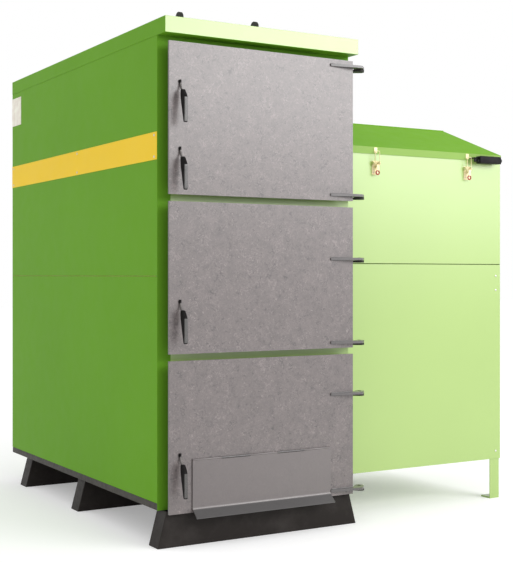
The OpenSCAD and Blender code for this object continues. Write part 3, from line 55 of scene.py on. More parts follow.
camera_data = bpy.data.cameras.new("photo_camera")
camera_data.sensor_width = 36
camera_data.lens = 73.4
camera_data.shift_y = -0.0115
camera = bpy.data.objects.new("photo_camera", camera_data)
camera.location = (-2.327, -4.733, 1.030)
camera.rotation_euler = (math.radians(90), 0, math.radians(-30.6))
bpy.context.collection.objects.link(camera)
bpy.context.scene.camera = camera
bpy.context.scene.view_settings.view_transform = "Standard"


# Finishes

def tone(r, g, b):
    """A colour given in steps of 0 to 255, as the linear values that a shader takes."""
    c = np.array([r, g, b]) / 255
    c = np.where(c <= 0.04045, c / 12.92, ((c + 0.055) / 1.055) ** 2.4)
    return (*c.tolist(), 1.0)


class Finish:
    """A node material. Its patterns read object coordinates in metres."""

    def __init__(self, name, metal=0.0, rough=0.4, level=0.5,
                 coat=0.0, coat_rough=0.1, coat_ior=1.5):
        self.mat = bpy.data.materials.new(name)
        self.mat.use_nodes = True
        self.tree = self.mat.node_tree
        self.shader = self.tree.nodes["Principled BSDF"]
        self.set("Metallic", metal)
        self.set("Roughness", rough)
        self.set("Specular IOR Level", level)
        self.set("Coat Weight", coat)
        self.set("Coat Roughness", coat_rough)
        self.set("Coat IOR", coat_ior)
        self.place = self.tree.nodes.new("ShaderNodeTexCoord").outputs["Object"]
        self.normal = None

    def set(self, socket, value):
        self.shader.inputs[socket].default_value = value

    def link(self, out, socket):
        self.tree.links.new(out, self.shader.inputs[socket])

    def stretched(self, scale):
        node = self.tree.nodes.new("ShaderNodeMapping")
        node.inputs["Scale"].default_value = scale
        self.tree.links.new(self.place, node.inputs["Vector"])
        return node.outputs["Vector"]

    def pattern(self, kind, per_m, stretch=None):
        """A texture node with per_m features a metre, squeezed along the axes by stretch."""
        node = self.tree.nodes.new(kind)
        node.inputs["Scale"].default_value = per_m
        place = self.stretched(stretch) if stretch else self.place
        self.tree.links.new(place, node.inputs["Vector"])
        return node

    def noise(self, per_m, detail=3.0, rough=0.55, stretch=None, twist=0.0):
        node = self.pattern("ShaderNodeTexNoise", per_m, stretch)
        node.inputs["Detail"].default_value = detail
        node.inputs["Distortion"].default_value = twist
        node.inputs["Roughness"].default_value = rough
        return node.outputs["Fac"]

    def curls(self, per_m, twist):
        """Thin bent lines, 1 along each line and lower beside it."""
        node = self.pattern("ShaderNodeTexNoise", per_m)
        node.noise_type = "RIDGED_MULTIFRACTAL"
        node.inputs["Detail"].default_value = 0.0
        node.inputs["Offset"].default_value = 1.0
        node.inputs["Distortion"].default_value = twist
        return node.outputs["Fac"]

    def cells(self, per_m, smooth=True, stretch=None):
        """Distance from the middle of each of many cells."""
        node = self.pattern("ShaderNodeTexVoronoi", per_m, stretch)
        node.feature = "SMOOTH_F1" if smooth else "F1"
        return node.outputs["Distance"]

    def along(self, axis):
        """The coordinate along an axis, in metres."""
        node = self.tree.nodes.new("ShaderNodeSeparateXYZ")
        self.tree.links.new(self.place, node.inputs[0])
        return node.outputs[axis]

    def between(self, out, low, high, to_low=0.0, to_high=1.0):
        """The value out, carried from low..high to to_low..to_high and held there. Each end is a
        number or a socket."""
        node = self.tree.nodes.new("ShaderNodeMapRange")
        ends = {"From Min": low, "From Max": high, "To Min": to_low, "To Max": to_high}
        for key, v in ends.items():
            if isinstance(v, (int, float)):
                node.inputs[key].default_value = v
            else:
                self.tree.links.new(v, node.inputs[key])
        self.tree.links.new(out, node.inputs["Value"])
        return node.outputs["Result"]

    def mix(self, fac, a, b):
        """Colour a where fac is 0 and b where it is 1. Each colour is a tuple or a socket."""
        node = self.tree.nodes.new("ShaderNodeMix")
        node.data_type = "RGBA"
        self.tree.links.new(fac, node.inputs["Factor"])
        for key, v in (("A", a), ("B", b)):
            socket = [s for s in node.inputs if s.name == key and s.type == "RGBA"][0]
            if isinstance(v, tuple):
                socket.default_value = v
            else:
                self.tree.links.new(v, socket)
        return [s for s in node.outputs if s.type == "RGBA"][0]

    def bump(self, out, depth_mm, strength):
        """Relief on top of the relief that is already there."""
        node = self.tree.nodes.new("ShaderNodeBump")
        node.inputs["Distance"].default_value = depth_mm * MM
        node.inputs["Strength"].default_value = strength
        self.tree.links.new(out, node.inputs["Height"])
        if self.normal:
            self.tree.links.new(self.normal, node.inputs["Normal"])
        self.normal = node.outputs["Normal"]
        self.link(self.normal, "Normal")


def scaled(colour, factor, more=0.0):
    """A colour times a factor, plus a little of each light."""
    return tuple(min(1, c * factor + more) for c in colour[:3]) + (1.0,)


GLOSS = {"coat_rough": 0.32, "coat_ior": 1.8}  # a thick clear coat that shows broad soft glare


def powder_coat(name, colour, rough, shade, level, coat=0.0):
    """Powder coat: faint clouds in its colour and a fine orange peel."""
    f = Finish(name, level=level, coat=coat, **GLOSS)
    clouds = f.between(f.noise(1.6, 4), 0.3, 0.7)
    f.link(f.mix(clouds, scaled(colour, 1 - shade), scaled(colour, 1 + shade)), "Base Color")
    f.link(f.between(f.noise(14, 5), 0.3, 0.7, *rough), "Roughness")
    f.bump(f.noise(420, 2), 0.05, 0.5)
    return f.mat


def front_sheet_painted_light(name, edge, middle):
    """The sheet behind the doors, with painted light and shade: darker and dull along its left edge
    and under the top cover, as painted shade, and paler and glossy in the middle between the doors,
    as painted light. Both limits are in metres."""
    f = Finish(name, rough=0.5, level=0.05, coat=1.0, **GLOSS)
    # 1 in the middle, where the paler colour paints light; 0 on the left edge and under the top
    # cover, where the darker colour paints shade
    painted_lit_middle = f.between(f.along("X"), -0.386, -0.382)
    painted_lit_middle = f.between(f.along("Z"), 1.906, 1.910, painted_lit_middle, 0.0)
    f.link(f.mix(painted_lit_middle, edge, middle), "Base Color")
    f.link(painted_lit_middle, "Coat Weight")
    f.bump(f.noise(420, 2), 0.05, 0.5)
    return f.mat


def hammertone(name, low, high, depth, speck):
    """Hammer-effect paint: clouds of two greys, a fine grain, and pale and dark flecks and curled
    strokes over small pressed cells. Speck is how far these stand out."""
    f = Finish(name, level=0.3, coat=0.8, coat_rough=0.34, coat_ior=1.8)
    clouds = f.between(f.noise(22, 9, 0.8), 0.36, 0.64)
    grain = f.between(f.noise(150, 6, 0.75), 0.34, 0.66)
    share = f.between(f.cells(60), 0.15, 0.75, 0.25, 0.6)
    paint = f.mix(share, f.mix(clouds, low, high), f.mix(grain, low, high))
    paint = f.mix(f.between(f.noise(30, 5, 0.7, None, 1.6), 0.40, 0.62, 0.0, 0.45), paint, high)
    pale, dark = scaled(high, 1 + 3 * speck, speck * 0.1), scaled(low, 1 - 2 * speck)
    paint = f.mix(f.between(f.noise(70, 4, 0.65, None, 2.2), 0.58, 0.74), paint, pale)
    paint = f.mix(f.between(f.noise(62, 4, 0.65, (1, 1, 1.3), 2.2), 0.58, 0.74), paint, dark)
    for per_m, where, most, stroke in ((56, 19, 0.42, pale), (52, 23, 0.8, dark)):
        patches = f.between(f.noise(where, 3, 0.6), 0.46, 0.62, 0.0, most)
        paint = f.mix(f.between(f.curls(per_m, 1.1), 0.78, 0.94, 0.0, patches), paint, stroke)
    f.link(paint, "Base Color")
    f.link(f.between(clouds, 0, 1, 0.45, 0.55), "Roughness")
    f.bump(f.cells(180), depth, 0.5)
    f.bump(f.noise(600, 3), 0.05, 0.4)
    return f.mat


def satin_paint(name, colour, rough=0.5, level=0.5):
    """Thin satin paint over steel, a little uneven."""
    f = Finish(name, level=level)
    worn = scaled(colour, 1.5, 0.01)
    f.link(f.mix(f.between(f.noise(9, 6, 0.65), 0.42, 0.80), colour, worn), "Base Color")
    f.link(f.between(f.noise(60, 4), 0.3, 0.7, rough - 0.08, rough + 0.08), "Roughness")
    f.bump(f.noise(380, 3), 0.05, 0.6)
    return f.mat


def steel(name, colour, rough, lines=(1, 1, 30), per_m=60, dull=None, metal=1.0):
    """Bare or plated steel with fine drawn lines along one direction, or an even grain."""
    f = Finish(name, metal=metal)
    dull = dull or scaled(colour, 0.72)
    f.link(f.mix(f.between(f.noise(18, 6, 0.7), 0.35, 0.75), colour, dull), "Base Color")
    drawn = f.noise(per_m, 4, 0.6, lines)
    f.link(f.between(drawn, 0.3, 0.7, rough - 0.08, rough + 0.12), "Roughness")
    f.bump(f.noise(per_m * 4, 3, 0.6, lines), 0.03, 0.5)
    return f.mat


EVEN = (1, 1, 1)  # a grain without a direction


def moulded(name, colour, grain=0.06, coat=0.0, level=0.5):
    """Moulded plastic with a fine spark-eroded grain."""
    f = Finish(name, level=level, coat=coat, coat_rough=0.3, coat_ior=1.8)
    paler = scaled(colour, 1.35, 0.006)
    f.link(f.mix(f.between(f.noise(30, 4), 0.35, 0.75), colour, paler), "Base Color")
    f.bump(f.cells(1400, False), grain, 0.5)
    return f.mat


def mineral(name, light, dark, per_m, depth, rough=0.9, stretch=None):
    """Concrete, board, wool or rope: grains of two tones with a rough relief."""
    f = Finish(name, rough=rough, level=0.2)
    f.link(f.mix(f.between(f.noise(per_m, 8, 0.75, stretch), 0.3, 0.7), light, dark), "Base Color")
    f.bump(f.noise(per_m * 3, 6, 0.7, stretch), depth, 0.8)
    f.bump(f.cells(per_m * 2, True, stretch), depth, 0.6)
    return f.mat


green = powder_coat("casing_green", tone(104, 160, 35), (0.42, 0.50), 0.03, 0.06)
# The front sheet's edge tone is painted shade and its paler middle tone is painted light
front_sheet = front_sheet_painted_light("front_sheet", tone(96, 148, 38), tone(150, 182, 94))
# A paler, glossier copy of the casing green for faces turned to the lamps: painted light
painted_lit_green = powder_coat("painted_lit_green", tone(157, 187, 97), (0.40, 0.48), 0.02, 0.3, 1.0)
# A paler copy of the lid's green for its front flange: painted light
painted_lit_flange_green = powder_coat("painted_lit_flange_green", tone(142, 176, 92), (0.50, 0.60), 0.02, 0.1)
roof_green = powder_coat("roof_green", tone(112, 165, 42), (0.50, 0.60), 0.03, 0.03)
door_grey = hammertone("door_hammertone", tone(76, 69, 69), tone(111, 101, 100), 0.2, 0.22)
flap_grey = hammertone("flap_hammertone", tone(94, 86, 86), tone(101, 93, 92), 0.12, 0.03)
# A dark copy of the flap's paint for its bent lip: painted shade
painted_shade_lip_grey = hammertone("lip_painted_shade", tone(43, 39, 39), tone(50, 46, 46), 0.12, 0.03)
# A darker copy of the door paint for the hinge straps and their welds: painted shade
painted_shade_strap_grey = hammertone("strap_painted_shade", tone(62, 58, 58), tone(84, 79, 79), 0.1, 0.05)
band_grey = satin_paint("dark_paint", tone(56, 52, 48), level=0.2)
skid_black = satin_paint("black_paint", tone(41, 37, 35), 0.45, level=0.12)
lug_black = satin_paint("lug_paint", tone(38, 38, 33), 0.45, level=0.15)
stripe_yellow = powder_coat("stripe_yellow", tone(248, 208, 50), (0.42, 0.52), 0.02, 0.10)
plate_cream = moulded("plate_cream", tone(232, 222, 208), 0.02)
motor_blue = satin_paint("motor_paint", tone(70, 88, 112), 0.38)
plate_steel = steel("mill_steel", tone(112, 110, 110), 0.5, EVEN, 24, tone(74, 70, 68), 0.8)
bare_steel = steel("bare_steel", tone(196, 196, 198), 0.28)
# A darker copy of the bare steel for the handle levers: painted shade
painted_shade_steel = steel("lever_steel", tone(112, 108, 106), 0.4)
zinc = steel("zinc", tone(214, 214, 208), 0.3, EVEN, 120)
yellow_zinc = steel("yellow_zinc", tone(240, 230, 190), 0.5, EVEN, 90, tone(212, 194, 142), 0.35)
casting = steel("cast_iron", tone(64, 61, 58), 0.6, EVEN, 40, tone(48, 44, 42), 0.6)
grip_black = moulded("grip_black", tone(16, 14, 14), 0.03, level=0.1)
# A paler copy of the grip's black for its front face and ribs: painted light
grip_painted_lit_face = moulded("grip_painted_lit_face", tone(50, 47, 45), 0.08, 0.5)
switch_black = moulded("black_plastic", tone(20, 19, 21), level=0.1)
loop_red = moulded("loop_red", tone(150, 40, 34), 0.01)
refractory = mineral("refractory", tone(206, 188, 158), tone(168, 148, 120), 40, 0.6)
board = mineral("liner_board", tone(214, 202, 180), tone(178, 160, 128), 120, 0.4)
wool = mineral("lagging", tone(206, 188, 128), tone(174, 152, 92), 60, 1.5, 0.95, (1, 1, 4))
rope = mineral("rope_seal", tone(226, 222, 212), tone(178, 172, 160), 300, 0.7, 0.9)

finish_of_slot = {
    "casing_green": green, "door_hammertone": door_grey, "flap_hammertone": flap_grey,
    "dark_paint": band_grey, "black_paint": skid_black, "stripe_yellow": stripe_yellow,
    "plate_cream": plate_cream, "motor_paint": motor_blue, "mill_steel": plate_steel,
    "bare_steel": bare_steel, "zinc": zinc, "yellow_zinc": yellow_zinc, "cast_iron": casting,
    "refractory": refractory, "lagging": wool, "rope_seal": rope, "liner_board": board,
    "grip_black": grip_black, "black_plastic": switch_black}


# Shapes. Every helper takes mm. A shell is (rings, joined, capped): rings of points in metres, an
# array (rings, points, 3), each ring closed; joined ties the last ring to the first, and capped
# fills the two end rings.

PLANES = {"x": (1, 2, 0), "y": (0, 2, 1), "z": (0, 1, 2)}  # the two axes across an axis, then it


def paint_regions(mesh, regions):
    """Gives the faces whose centres, in mm, pass a region's test that region's finish: (test,
    finish) pairs, numbered from 1 after the mesh's own finish."""
    centre = np.zeros(len(mesh.polygons) * 3)
    mesh.polygons.foreach_get("center", centre)
    centre = centre.reshape(-1, 3) / MM
    kind = np.zeros(len(mesh.polygons), dtype=np.int32)
    for i, (test, _) in enumerate(regions):
        kind[test(centre)] = i + 1
    mesh.polygons.foreach_set("material_index", kind)


def link_mesh(name, mesh, finishes, body, stands_for):
    """Puts a mesh in the scene on a body; it may stand for CAD nodes."""
    for finish in finishes:
        mesh.materials.append(finish)
    obj = bpy.data.objects.new(name, mesh)
    bpy.context.collection.objects.link(obj)
    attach(obj, body)
    if stands_for:
        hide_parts(*stands_for)
    return obj


def piece(name, shells, finish, body="boiler", stands_for=(), sharp=SHARP, regions=()):
    """One mesh from shells, its edges sharp above an angle in degrees."""
    verts, faces, start = [], [], 0
    for rings, joined, capped in shells:
        rings = np.asarray(rings, float)
        m, n = rings.shape[:2]
        index = start + np.arange(m * n).reshape(m, n)
        rows = np.vstack([index, index[:1]]) if joined else index
        a, d = rows[:-1], rows[1:]
        quads = np.stack([a, np.roll(a, -1, 1), np.roll(d, -1, 1), d], -1)
        faces += quads.reshape(-1, 4).tolist()
        if capped:
            faces += [index[0][::-1].tolist(), index[-1].tolist()]
        verts.append(rings.reshape(-1, 3))
        start += m * n
    mesh = bpy.data.meshes.new(name)
    mesh.from_pydata(np.vstack(verts).tolist(), [], faces)
    work = bmesh.new()
    work.from_mesh(mesh)
    bmesh.ops.recalc_face_normals(work, faces=work.faces)
    work.to_mesh(mesh)
    work.free()
    mesh.shade_smooth()
    mesh.set_sharp_from_angle(angle=math.radians(sharp))
    if regions:
        paint_regions(mesh, regions)
    return link_mesh(name, mesh, [finish, *(f for _, f in regions)], body, stands_for)


def softened(node, width=1.2, steps=2, finish=None, regions=()):
    """The CAD node's own shape with its rims rounded: a merged copy under a Bevel modifier."""
    mesh = frame["nodes"][node].data.copy()
    mesh.materials.clear()
    if mesh.has_custom_normals:
        mesh.attributes.remove(mesh.attributes["custom_normal"])
    work = bmesh.new()
    work.from_mesh(mesh)
    bmesh.ops.remove_doubles(work, verts=work.verts, dist=0.00001)
    flat = math.radians(0.5)
    bmesh.ops.dissolve_limit(work, angle_limit=flat, verts=work.verts, edges=work.edges)
    work.to_mesh(mesh)
    work.free()
    finishes = [finish or finish_of_slot[slot_of_node[node]]] + [f for _, f in regions]
    if regions:
        paint_regions(mesh, regions)
    mesh.shade_smooth()
    mesh.set_sharp_from_angle(angle=math.radians(SHARP))
    obj = link_mesh(node + "_finished", mesh, finishes, body_of_node[node],
                    [node])
    bevel = obj.modifiers.new("rounded_rims", "BEVEL")
    bevel.width = width * MM
    bevel.segments = steps
    bevel.limit_method = "ANGLE"
    bevel.angle_limit = math.radians(40)
    bevel.harden_normals = False
    return obj


def angles(count):
    """The angles of a full turn, without its end."""
    return np.linspace(0, FULL_TURN, count, endpoint=False)


def bezier(points, count):
    """Points on the curve of some control points: weights C(n, k) t^k (1-t)^(n-k)."""
    t, n = np.linspace(0, 1, count)[:, None], len(points) - 1
    weights = [math.comb(n, k) * t ** k * (1 - t) ** (n - k) for k in range(n + 1)]
    return sum(w * np.array(p, float) for w, p in zip(weights, points))


def rounded(points, radius, steps=4):
    """The outline through points with each corner cut to an arc: quadratic arcs between the two
    tangent points, weights (1-t)^2, 2t(1-t), t^2."""
    p = np.asarray(points, float)
    r = np.broadcast_to(np.asarray(radius, float), len(p))[:, None]
    to_last, to_next = np.roll(p, 1, 0) - p, np.roll(p, -1, 0) - p
    len_last = np.linalg.norm(to_last, axis=1, keepdims=True)
    len_next = np.linalg.norm(to_next, axis=1, keepdims=True)
    a = p + to_last / len_last * np.minimum(r, len_last * 0.48)
    b = p + to_next / len_next * np.minimum(r, len_next * 0.48)
    t = np.linspace(0, 1, steps + 1)[None, :, None]
    arcs = a[:, None] * (1 - t) ** 2 + p[:, None] * 2 * t * (1 - t) + b[:, None] * t ** 2
    return arcs.reshape(-1, 2)


def inset(outline, depth):
    """The outline moved inwards along each corner's mitre: the sum of its edges' normals over one
    plus their dot product."""
    after = np.roll(outline, -1, 0)
    step = after - outline
    step /= np.maximum(np.linalg.norm(step, axis=1, keepdims=True), 1e-9)
    area = np.sum(outline[:, 0] * after[:, 1] - after[:, 0] * outline[:, 1])
    side = np.stack([-step[:, 1], step[:, 0]], 1) * (1 if area > 0 else -1)
    last = np.roll(side, 1, 0)
    mitre = (side + last) / np.maximum(1 + np.sum(side * last, 1, keepdims=True), 0.3)
    return outline + mitre * depth


def slab(outline, low, high, axis, edge=1.0, steps=2):
    """A plate: an outline carried from low to high along an axis, its rims rounded by quarter
    circles: inset edge*(1-cos), depth edge*(1-sin)."""
    outline = np.asarray(outline, float)
    turn = np.linspace(0, QUARTER, steps + 1)
    inward = np.concatenate([edge * (1 - np.sin(turn)), edge * (1 - np.cos(turn))])
    ends = low + edge * (1 - np.cos(turn)), high - edge * (1 - np.sin(turn))
    along = np.concatenate(ends)
    u, v, w = PLANES[axis]
    rings = np.zeros((len(inward), len(outline), 3))
    for i, (d, h) in enumerate(zip(inward, along)):
        flat = inset(outline, d)
        rings[i, :, u], rings[i, :, v], rings[i, :, w] = flat[:, 0], flat[:, 1], h
    return rings * MM, False, True


def box_slab(lo, hi, axis, edge=1.0, corner=1.0, steps=2):
    """A rounded block between two corners, its outline across the axis."""
    u, v, w = PLANES[axis]
    flat = [(lo[u], lo[v]), (hi[u], lo[v]), (hi[u], hi[v]), (lo[u], hi[v])]
    return slab(rounded(flat, corner, 3), lo[w], hi[w], axis, edge, steps)


def turned(profile, axis, centre, around=40, closed=False):
    """A lathe shape: profile rows are (radius, place along the axis); the centre is given in the
    two other axes. Points lie at radius*(cos, sin)."""
    profile = np.asarray(profile, float)
    a = angles(around)
    u, v, w = PLANES[axis]
    rings = np.zeros((len(profile), around, 3))
    rings[:, :, u] = centre[0] + profile[:, :1] * np.cos(a)
    rings[:, :, v] = centre[1] + profile[:, :1] * np.sin(a)
    rings[:, :, w] = profile[:, 1:2]
    return rings * MM, closed, not closed


def swept(path, radius, around=10, joined=False):
    """A tube along a path: each ring lies across the path's direction, with axes from cross
    products with a fixed helper; radius may change along the path."""
    path = np.asarray(path, float)
    ahead = np.roll(path, -1, 0) - np.roll(path, 1, 0)
    if not joined:
        ahead[0], ahead[-1] = path[1] - path[0], path[-1] - path[-2]
    ahead /= np.linalg.norm(ahead, axis=1, keepdims=True)
    helper = np.array([0.0, 0.0, 1.0] if abs(ahead[:, 2]).max() < 0.9 else [1.0, 0.0, 0.0])
    if abs(ahead @ helper).max() > 0.95:
        helper = np.array([0.0, 1.0, 0.0])
    side = np.cross(ahead, helper)
    side /= np.linalg.norm(side, axis=1, keepdims=True)
    up = np.cross(side, ahead)
    a = angles(around)[None, :, None]
    r = np.broadcast_to(np.asarray(radius, float), len(path))[:, None, None]
    rings = path[:, None] + r * (np.cos(a) * side[:, None] + np.sin(a) * up[:, None])
    return rings * MM, joined, not joined


def folded_sheet(path, x0, x1, thick, corner):
    """A bent sheet: at each (y, z) of the path a flat rounded loop, x0 to x1 wide and thick along
    the path's normal; corner gives how far the loop's ends are drawn in at each point."""
    path = np.asarray(path, float)
    ahead = np.gradient(path, axis=0)
    ahead /= np.linalg.norm(ahead, axis=1, keepdims=True)
    out = np.stack([ahead[:, 1], -ahead[:, 0]], 1)
    wide, half = x1 - x0, thick / 2
    loop = rounded([(0, -half), (wide, -half), (wide, half), (0, half)], thick * 0.3, 3)
    middle = wide / 2
    narrowed = 1 - np.asarray(corner)[:, None] / middle
    rings = np.zeros((len(path), len(loop), 3))
    rings[:, :, 0] = x0 + middle + (loop[None, :, 0] - middle) * narrowed
    rings[:, :, 1] = path[:, None, 0] + out[:, None, 0] * loop[None, :, 1]
    rings[:, :, 2] = path[:, None, 1] + out[:, None, 1] * loop[None, :, 1]
    return rings * MM, False, True


def ripple(along, pitch):
    """How much a weld bead's radius swells with each deposited drop."""
    return 1 + 0.12 * np.abs(np.sin(along / pitch * math.pi))


def weld(start, end, radius, pitch):
    """A weld bead between two points, thin at its ends."""
    start, end = np.array(start, float), np.array(end, float)
    length = np.linalg.norm(end - start)
    t = np.linspace(0, 1, max(int(length / pitch * 4), 6))
    bead = radius * ripple(t * length, pitch)
    bead[[0, -1]] *= 0.5
    return swept(start + (end - start) * t[:, None], bead, 8)


def ring_weld(axis, centre, at, radius, bead, pitch=5.0):
    """A weld bead round a pipe."""
    a = angles(int(FULL_TURN * radius / pitch * 3))
    u, v, w = PLANES[axis]
    path = np.zeros((len(a), 3))
    path[:, u] = centre[0] + radius * np.cos(a)
    path[:, v] = centre[1] + radius * np.sin(a)
    path[:, w] = at
    return swept(path, bead * ripple(a * radius, pitch), 8, True)


def dome_head(axis, centre, base, out, radius, height, around=24):
    """A domed rivet or screw head: radius*cos(t), height*sin(t) over a short skirt. Out is 1 or -1,
    the way it points along its axis."""
    t = np.linspace(0, QUARTER * 0.98, 7)
    rise = base + out * (0.25 * height + 0.75 * height * np.sin(t))
    return turned([(radius, base), *zip(radius * np.cos(t), rise)], axis, centre, around)


def hex_head(axis, centre, base, out, across, height):
    """A hexagon head on its washer, the corners bevelled by a smaller last ring."""
    r, w = across / math.sqrt(3), across * 0.95
    head = [(r, base), (r, base + out * height * 0.85), (r * 0.9, base + out * height)]
    washer = [(w, base), (w, base + out * 1.2), (w * 0.94, base + out * 1.6)]
    return [turned(head, axis, centre, 6), turned(washer, axis, centre, 32)]


# Boiler casing

CAP_FRONT = -800  # only the top cover's front flange lies before this
softened("skids", 2.5, 3)
softened("base_tray", 1.5)
# The top cover's front flange takes the paler green: painted light
softened("top_cap", 2.2, 3, regions=[(lambda c: c[:, 1] < CAP_FRONT, painted_lit_green)])
softened("left_panels", 0.6)
softened("right_panels", 0.6)
softened("front_casing", 0.6, finish=front_sheet)
softened("rear_panel", 0.6)
softened("side_stripe", 0.4)
softened("blank_plate", 0.5)
softened("lifting_lugs", 2.5, 3, lug_black)
# The hinge brackets take the near-black lug paint instead of their own grey: painted shade under
# the straps
softened("hinge_brackets", 1.2, finish=lug_black)
softened("door_keepers", 0.8)

# Hopper casing

# The hopper's front and its stand take the paler green: painted light
softened("hopper_front", 0.6, finish=painted_lit_green)
softened("hopper_sides", 0.6)
softened("hopper_rear", 0.6)
softened("hopper_roof", 1.0, finish=roof_green)
softened("hopper_stand", 0.8, finish=painted_lit_green)

# Rivets of the side stripe and screws of the hopper's front

SIDE_X, HOPPER_Y = -441.5, -728
STRIPE_Z, SCREW_Z = (1480, 1562), (218, 961, 1026)
heads = [dome_head("x", (y, z), SIDE_X, -1, 5, 2) for y in (-780, 1, 849) for z in STRIPE_Z]
heads += [dome_head("y", (x, z), HOPPER_Y, -1, 5, 2.5) for x in (496, 1326) for z in SCREW_Z]
piece("rivets_and_screws", heads, zinc, stands_for=["casing_fasteners"])

# Screws of the boiler's and the hopper's rear sheets, which the photograph doesn't show:
# the two columns' x, (lowest, highest, count) of their z, the sheet's face y
rear_heads = []
BACK_SCREWS = [((-424, 424), (230, 1890, 8), 874), ((486, 1336), (230, 1500, 6), 86)]
for columns, spread, face in BACK_SCREWS:
    rear_heads += [h for x in columns for z in np.linspace(*spread)
                   for h in hex_head("y", (x, z), face, 1, 7, 3)]
piece("rear_screws", rear_heads, zinc)

# Doors: each one's middle height and the undersides of its two straps

DOORS = {"bottom": (418, (545, 153)), "middle": (1020, (1096, 755)), "top": (1622, (1885, 1357))}
DOOR_FACE, LINER_FRONT, LINER_BACK = -867, -785.3, -782.5
HINGE_X, HINGE_Y, BRACKET_FACE = 464, -851, -811


def on_strap(c):
    return (c[:, 1] < DOOR_FACE - 0.6) | (c[:, 0] > 422)


for door, (mid, straps) in DOORS.items():
    body = door + "_door_body"
    # The straps and their welds are painted darker than the door: painted shade
    softened(door + "_door", 1.5, 3, regions=[(on_strap, painted_shade_strap_grey)])
    bead_y = DOOR_FACE - 0.4
    beads = [weld((314, bead_y, z + side * 5.6), (416, bead_y, z + side * 5.6), 1.6, 4)
             for z in straps for side in (-1, 1)]
    piece(door + "_door_welds", beads, painted_shade_strap_grey, body)
    softened(door + "_door_liner", 3, 3)
    bars = [((-283, LINER_FRONT, mid + s * 212 - 9), (283, LINER_BACK, mid + s * 212 + 9))
            for s in (-1, 1)]
    bars += [((s * 274 - 9, LINER_FRONT, mid - 202), (s * 274 + 9, LINER_BACK, mid + 202))
             for s in (-1, 1)]
    frame_bars = [box_slab(lo, hi, "y", 0.8, 3) for lo, hi in bars]
    piece(door + "_liner_frame", frame_bars, plate_steel, body)
    bolts = [h for x in (-274, 274) for s in (-1, 1)
             for h in hex_head("y", (x, mid + s * 160), LINER_BACK, 1, 10, 4)]
    piece(door + "_liner_bolts", bolts, zinc, body)

strap_levels = [z for _, straps in DOORS.values() for z in straps]
bracket_bolts = [h for z in strap_levels for x in (406, 428)
                 for h in hex_head("y", (x, z + 13), BRACKET_FACE, -1, 10, 4)]
pin_tops = [dome_head("z", (HINGE_X, HINGE_Y), z + 5.3, 1, 7.4, 1.2) for z in strap_levels]
piece("hinge_bolts", bracket_bolts + pin_tops, band_grey)

# Rope seals: a round cord on each collar, its three strands as a twisted ripple of the radius

ROPE_Y, ROPE_R, STRAND_LAY = -850.85, 5.5, 9
seal_shells = []
for mid, _ in DOORS.values():
    frame_line = [(-305, mid - 244), (305, mid - 244), (305, mid + 244), (-305, mid + 244)]
    corners = rounded(frame_line, 14, 6)
    closed = np.vstack([corners, corners[:1]])
    gone = np.concatenate([[0], np.cumsum(np.linalg.norm(np.diff(closed, axis=0), axis=1))])
    at = np.linspace(0, gone[-1], 720, endpoint=False)
    flat = np.stack([np.interp(at, gone, closed[:, 0]), np.interp(at, gone, closed[:, 1])], 1)
    path = np.stack([flat[:, 0], np.full(len(at), ROPE_Y), flat[:, 1]], 1)
    ahead = np.roll(flat, -1, 0) - np.roll(flat, 1, 0)
    ahead /= np.linalg.norm(ahead, axis=1, keepdims=True)
    out = np.stack([ahead[:, 1], np.zeros(len(at)), -ahead[:, 0]], 1)
    turn = angles(12)
    strand = ROPE_R + 0.32 * np.sin(3 * turn[None, :] + at[:, None] * FULL_TURN / STRAND_LAY)
    spoke = (np.cos(turn)[None, :, None] * out[:, None]
             + np.sin(turn)[None, :, None] * np.array([0, 1, 0]))
    seal_shells.append(((path[:, None] + strand[:, :, None] * spoke) * MM, True, False))
piece("rope_cords", seal_shells, rope, stands_for=["door_seals"], sharp=80)

# Handles: steel lever, black head and a moulded grip; each one's pivot height

HANDLES = {"top_upper": 1757, "top_lower": 1505, "middle": 929, "bottom": 351}
HANDLE_X, TONGUE_FRONT, TONGUE_BACK = -376, -840, -832
GRIP_ROWS = np.array([  # below the pivot, front and back before the door's face, half width
    (31, 32.0, 18.0, 6.8), (36, 35.4, 17.8, 8.0), (46, 42.6, 17.8, 8.5), (58, 50.6, 17.8, 8.5),
    (62, 51.8, 18.0, 8.5), (68, 52.0, 19.2, 8.5), (90, 52.0, 25.6, 8.5), (120, 52.0, 34.4, 8.4),
    (148, 52.0, 42.6, 8.3), (157, 51.4, 44.4, 7.2)])
GRIP_FRONT = -917.6  # only the grip's front face lies before this
RIBS, RIB_PITCH = 15, 5.4


def grip_rings(z):
    """A grip: at each depth a superellipse of power 5 between the front and back lines; the two
    ends close by a quarter circle."""
    ends = np.linspace(0, QUARTER, 6)
    top, bottom = 31 + 3 * (1 - np.cos(ends)), 153.8 + 3 * np.sin(ends)
    down = np.concatenate([top, np.linspace(35, 153, 40), bottom])
    front, back, half = (np.interp(down, GRIP_ROWS[:, 0], GRIP_ROWS[:, i]) for i in (1, 2, 3))
    shrink = np.ones(len(down))
    shrink[:6] = np.sin(np.linspace(0.5, QUARTER, 6))
    shrink[-6:] = np.cos(np.linspace(0, QUARTER - 0.5, 6))
    turn = angles(48)
    c, s = np.cos(turn), np.sin(turn)
    c, s = np.sign(c) * np.abs(c) ** 0.4, np.sign(s) * np.abs(s) ** 0.4
    middle, deep = (front + back) / 2, (front - back) / 2
    rings = np.zeros((len(down), len(turn), 3))
    rings[:, :, 0] = HANDLE_X + (half * shrink)[:, None] * s
    rings[:, :, 1] = DOOR_FACE - middle[:, None] - (deep * shrink)[:, None] * c
    rings[:, :, 2] = z - down[:, None]
    return rings * MM, False, True


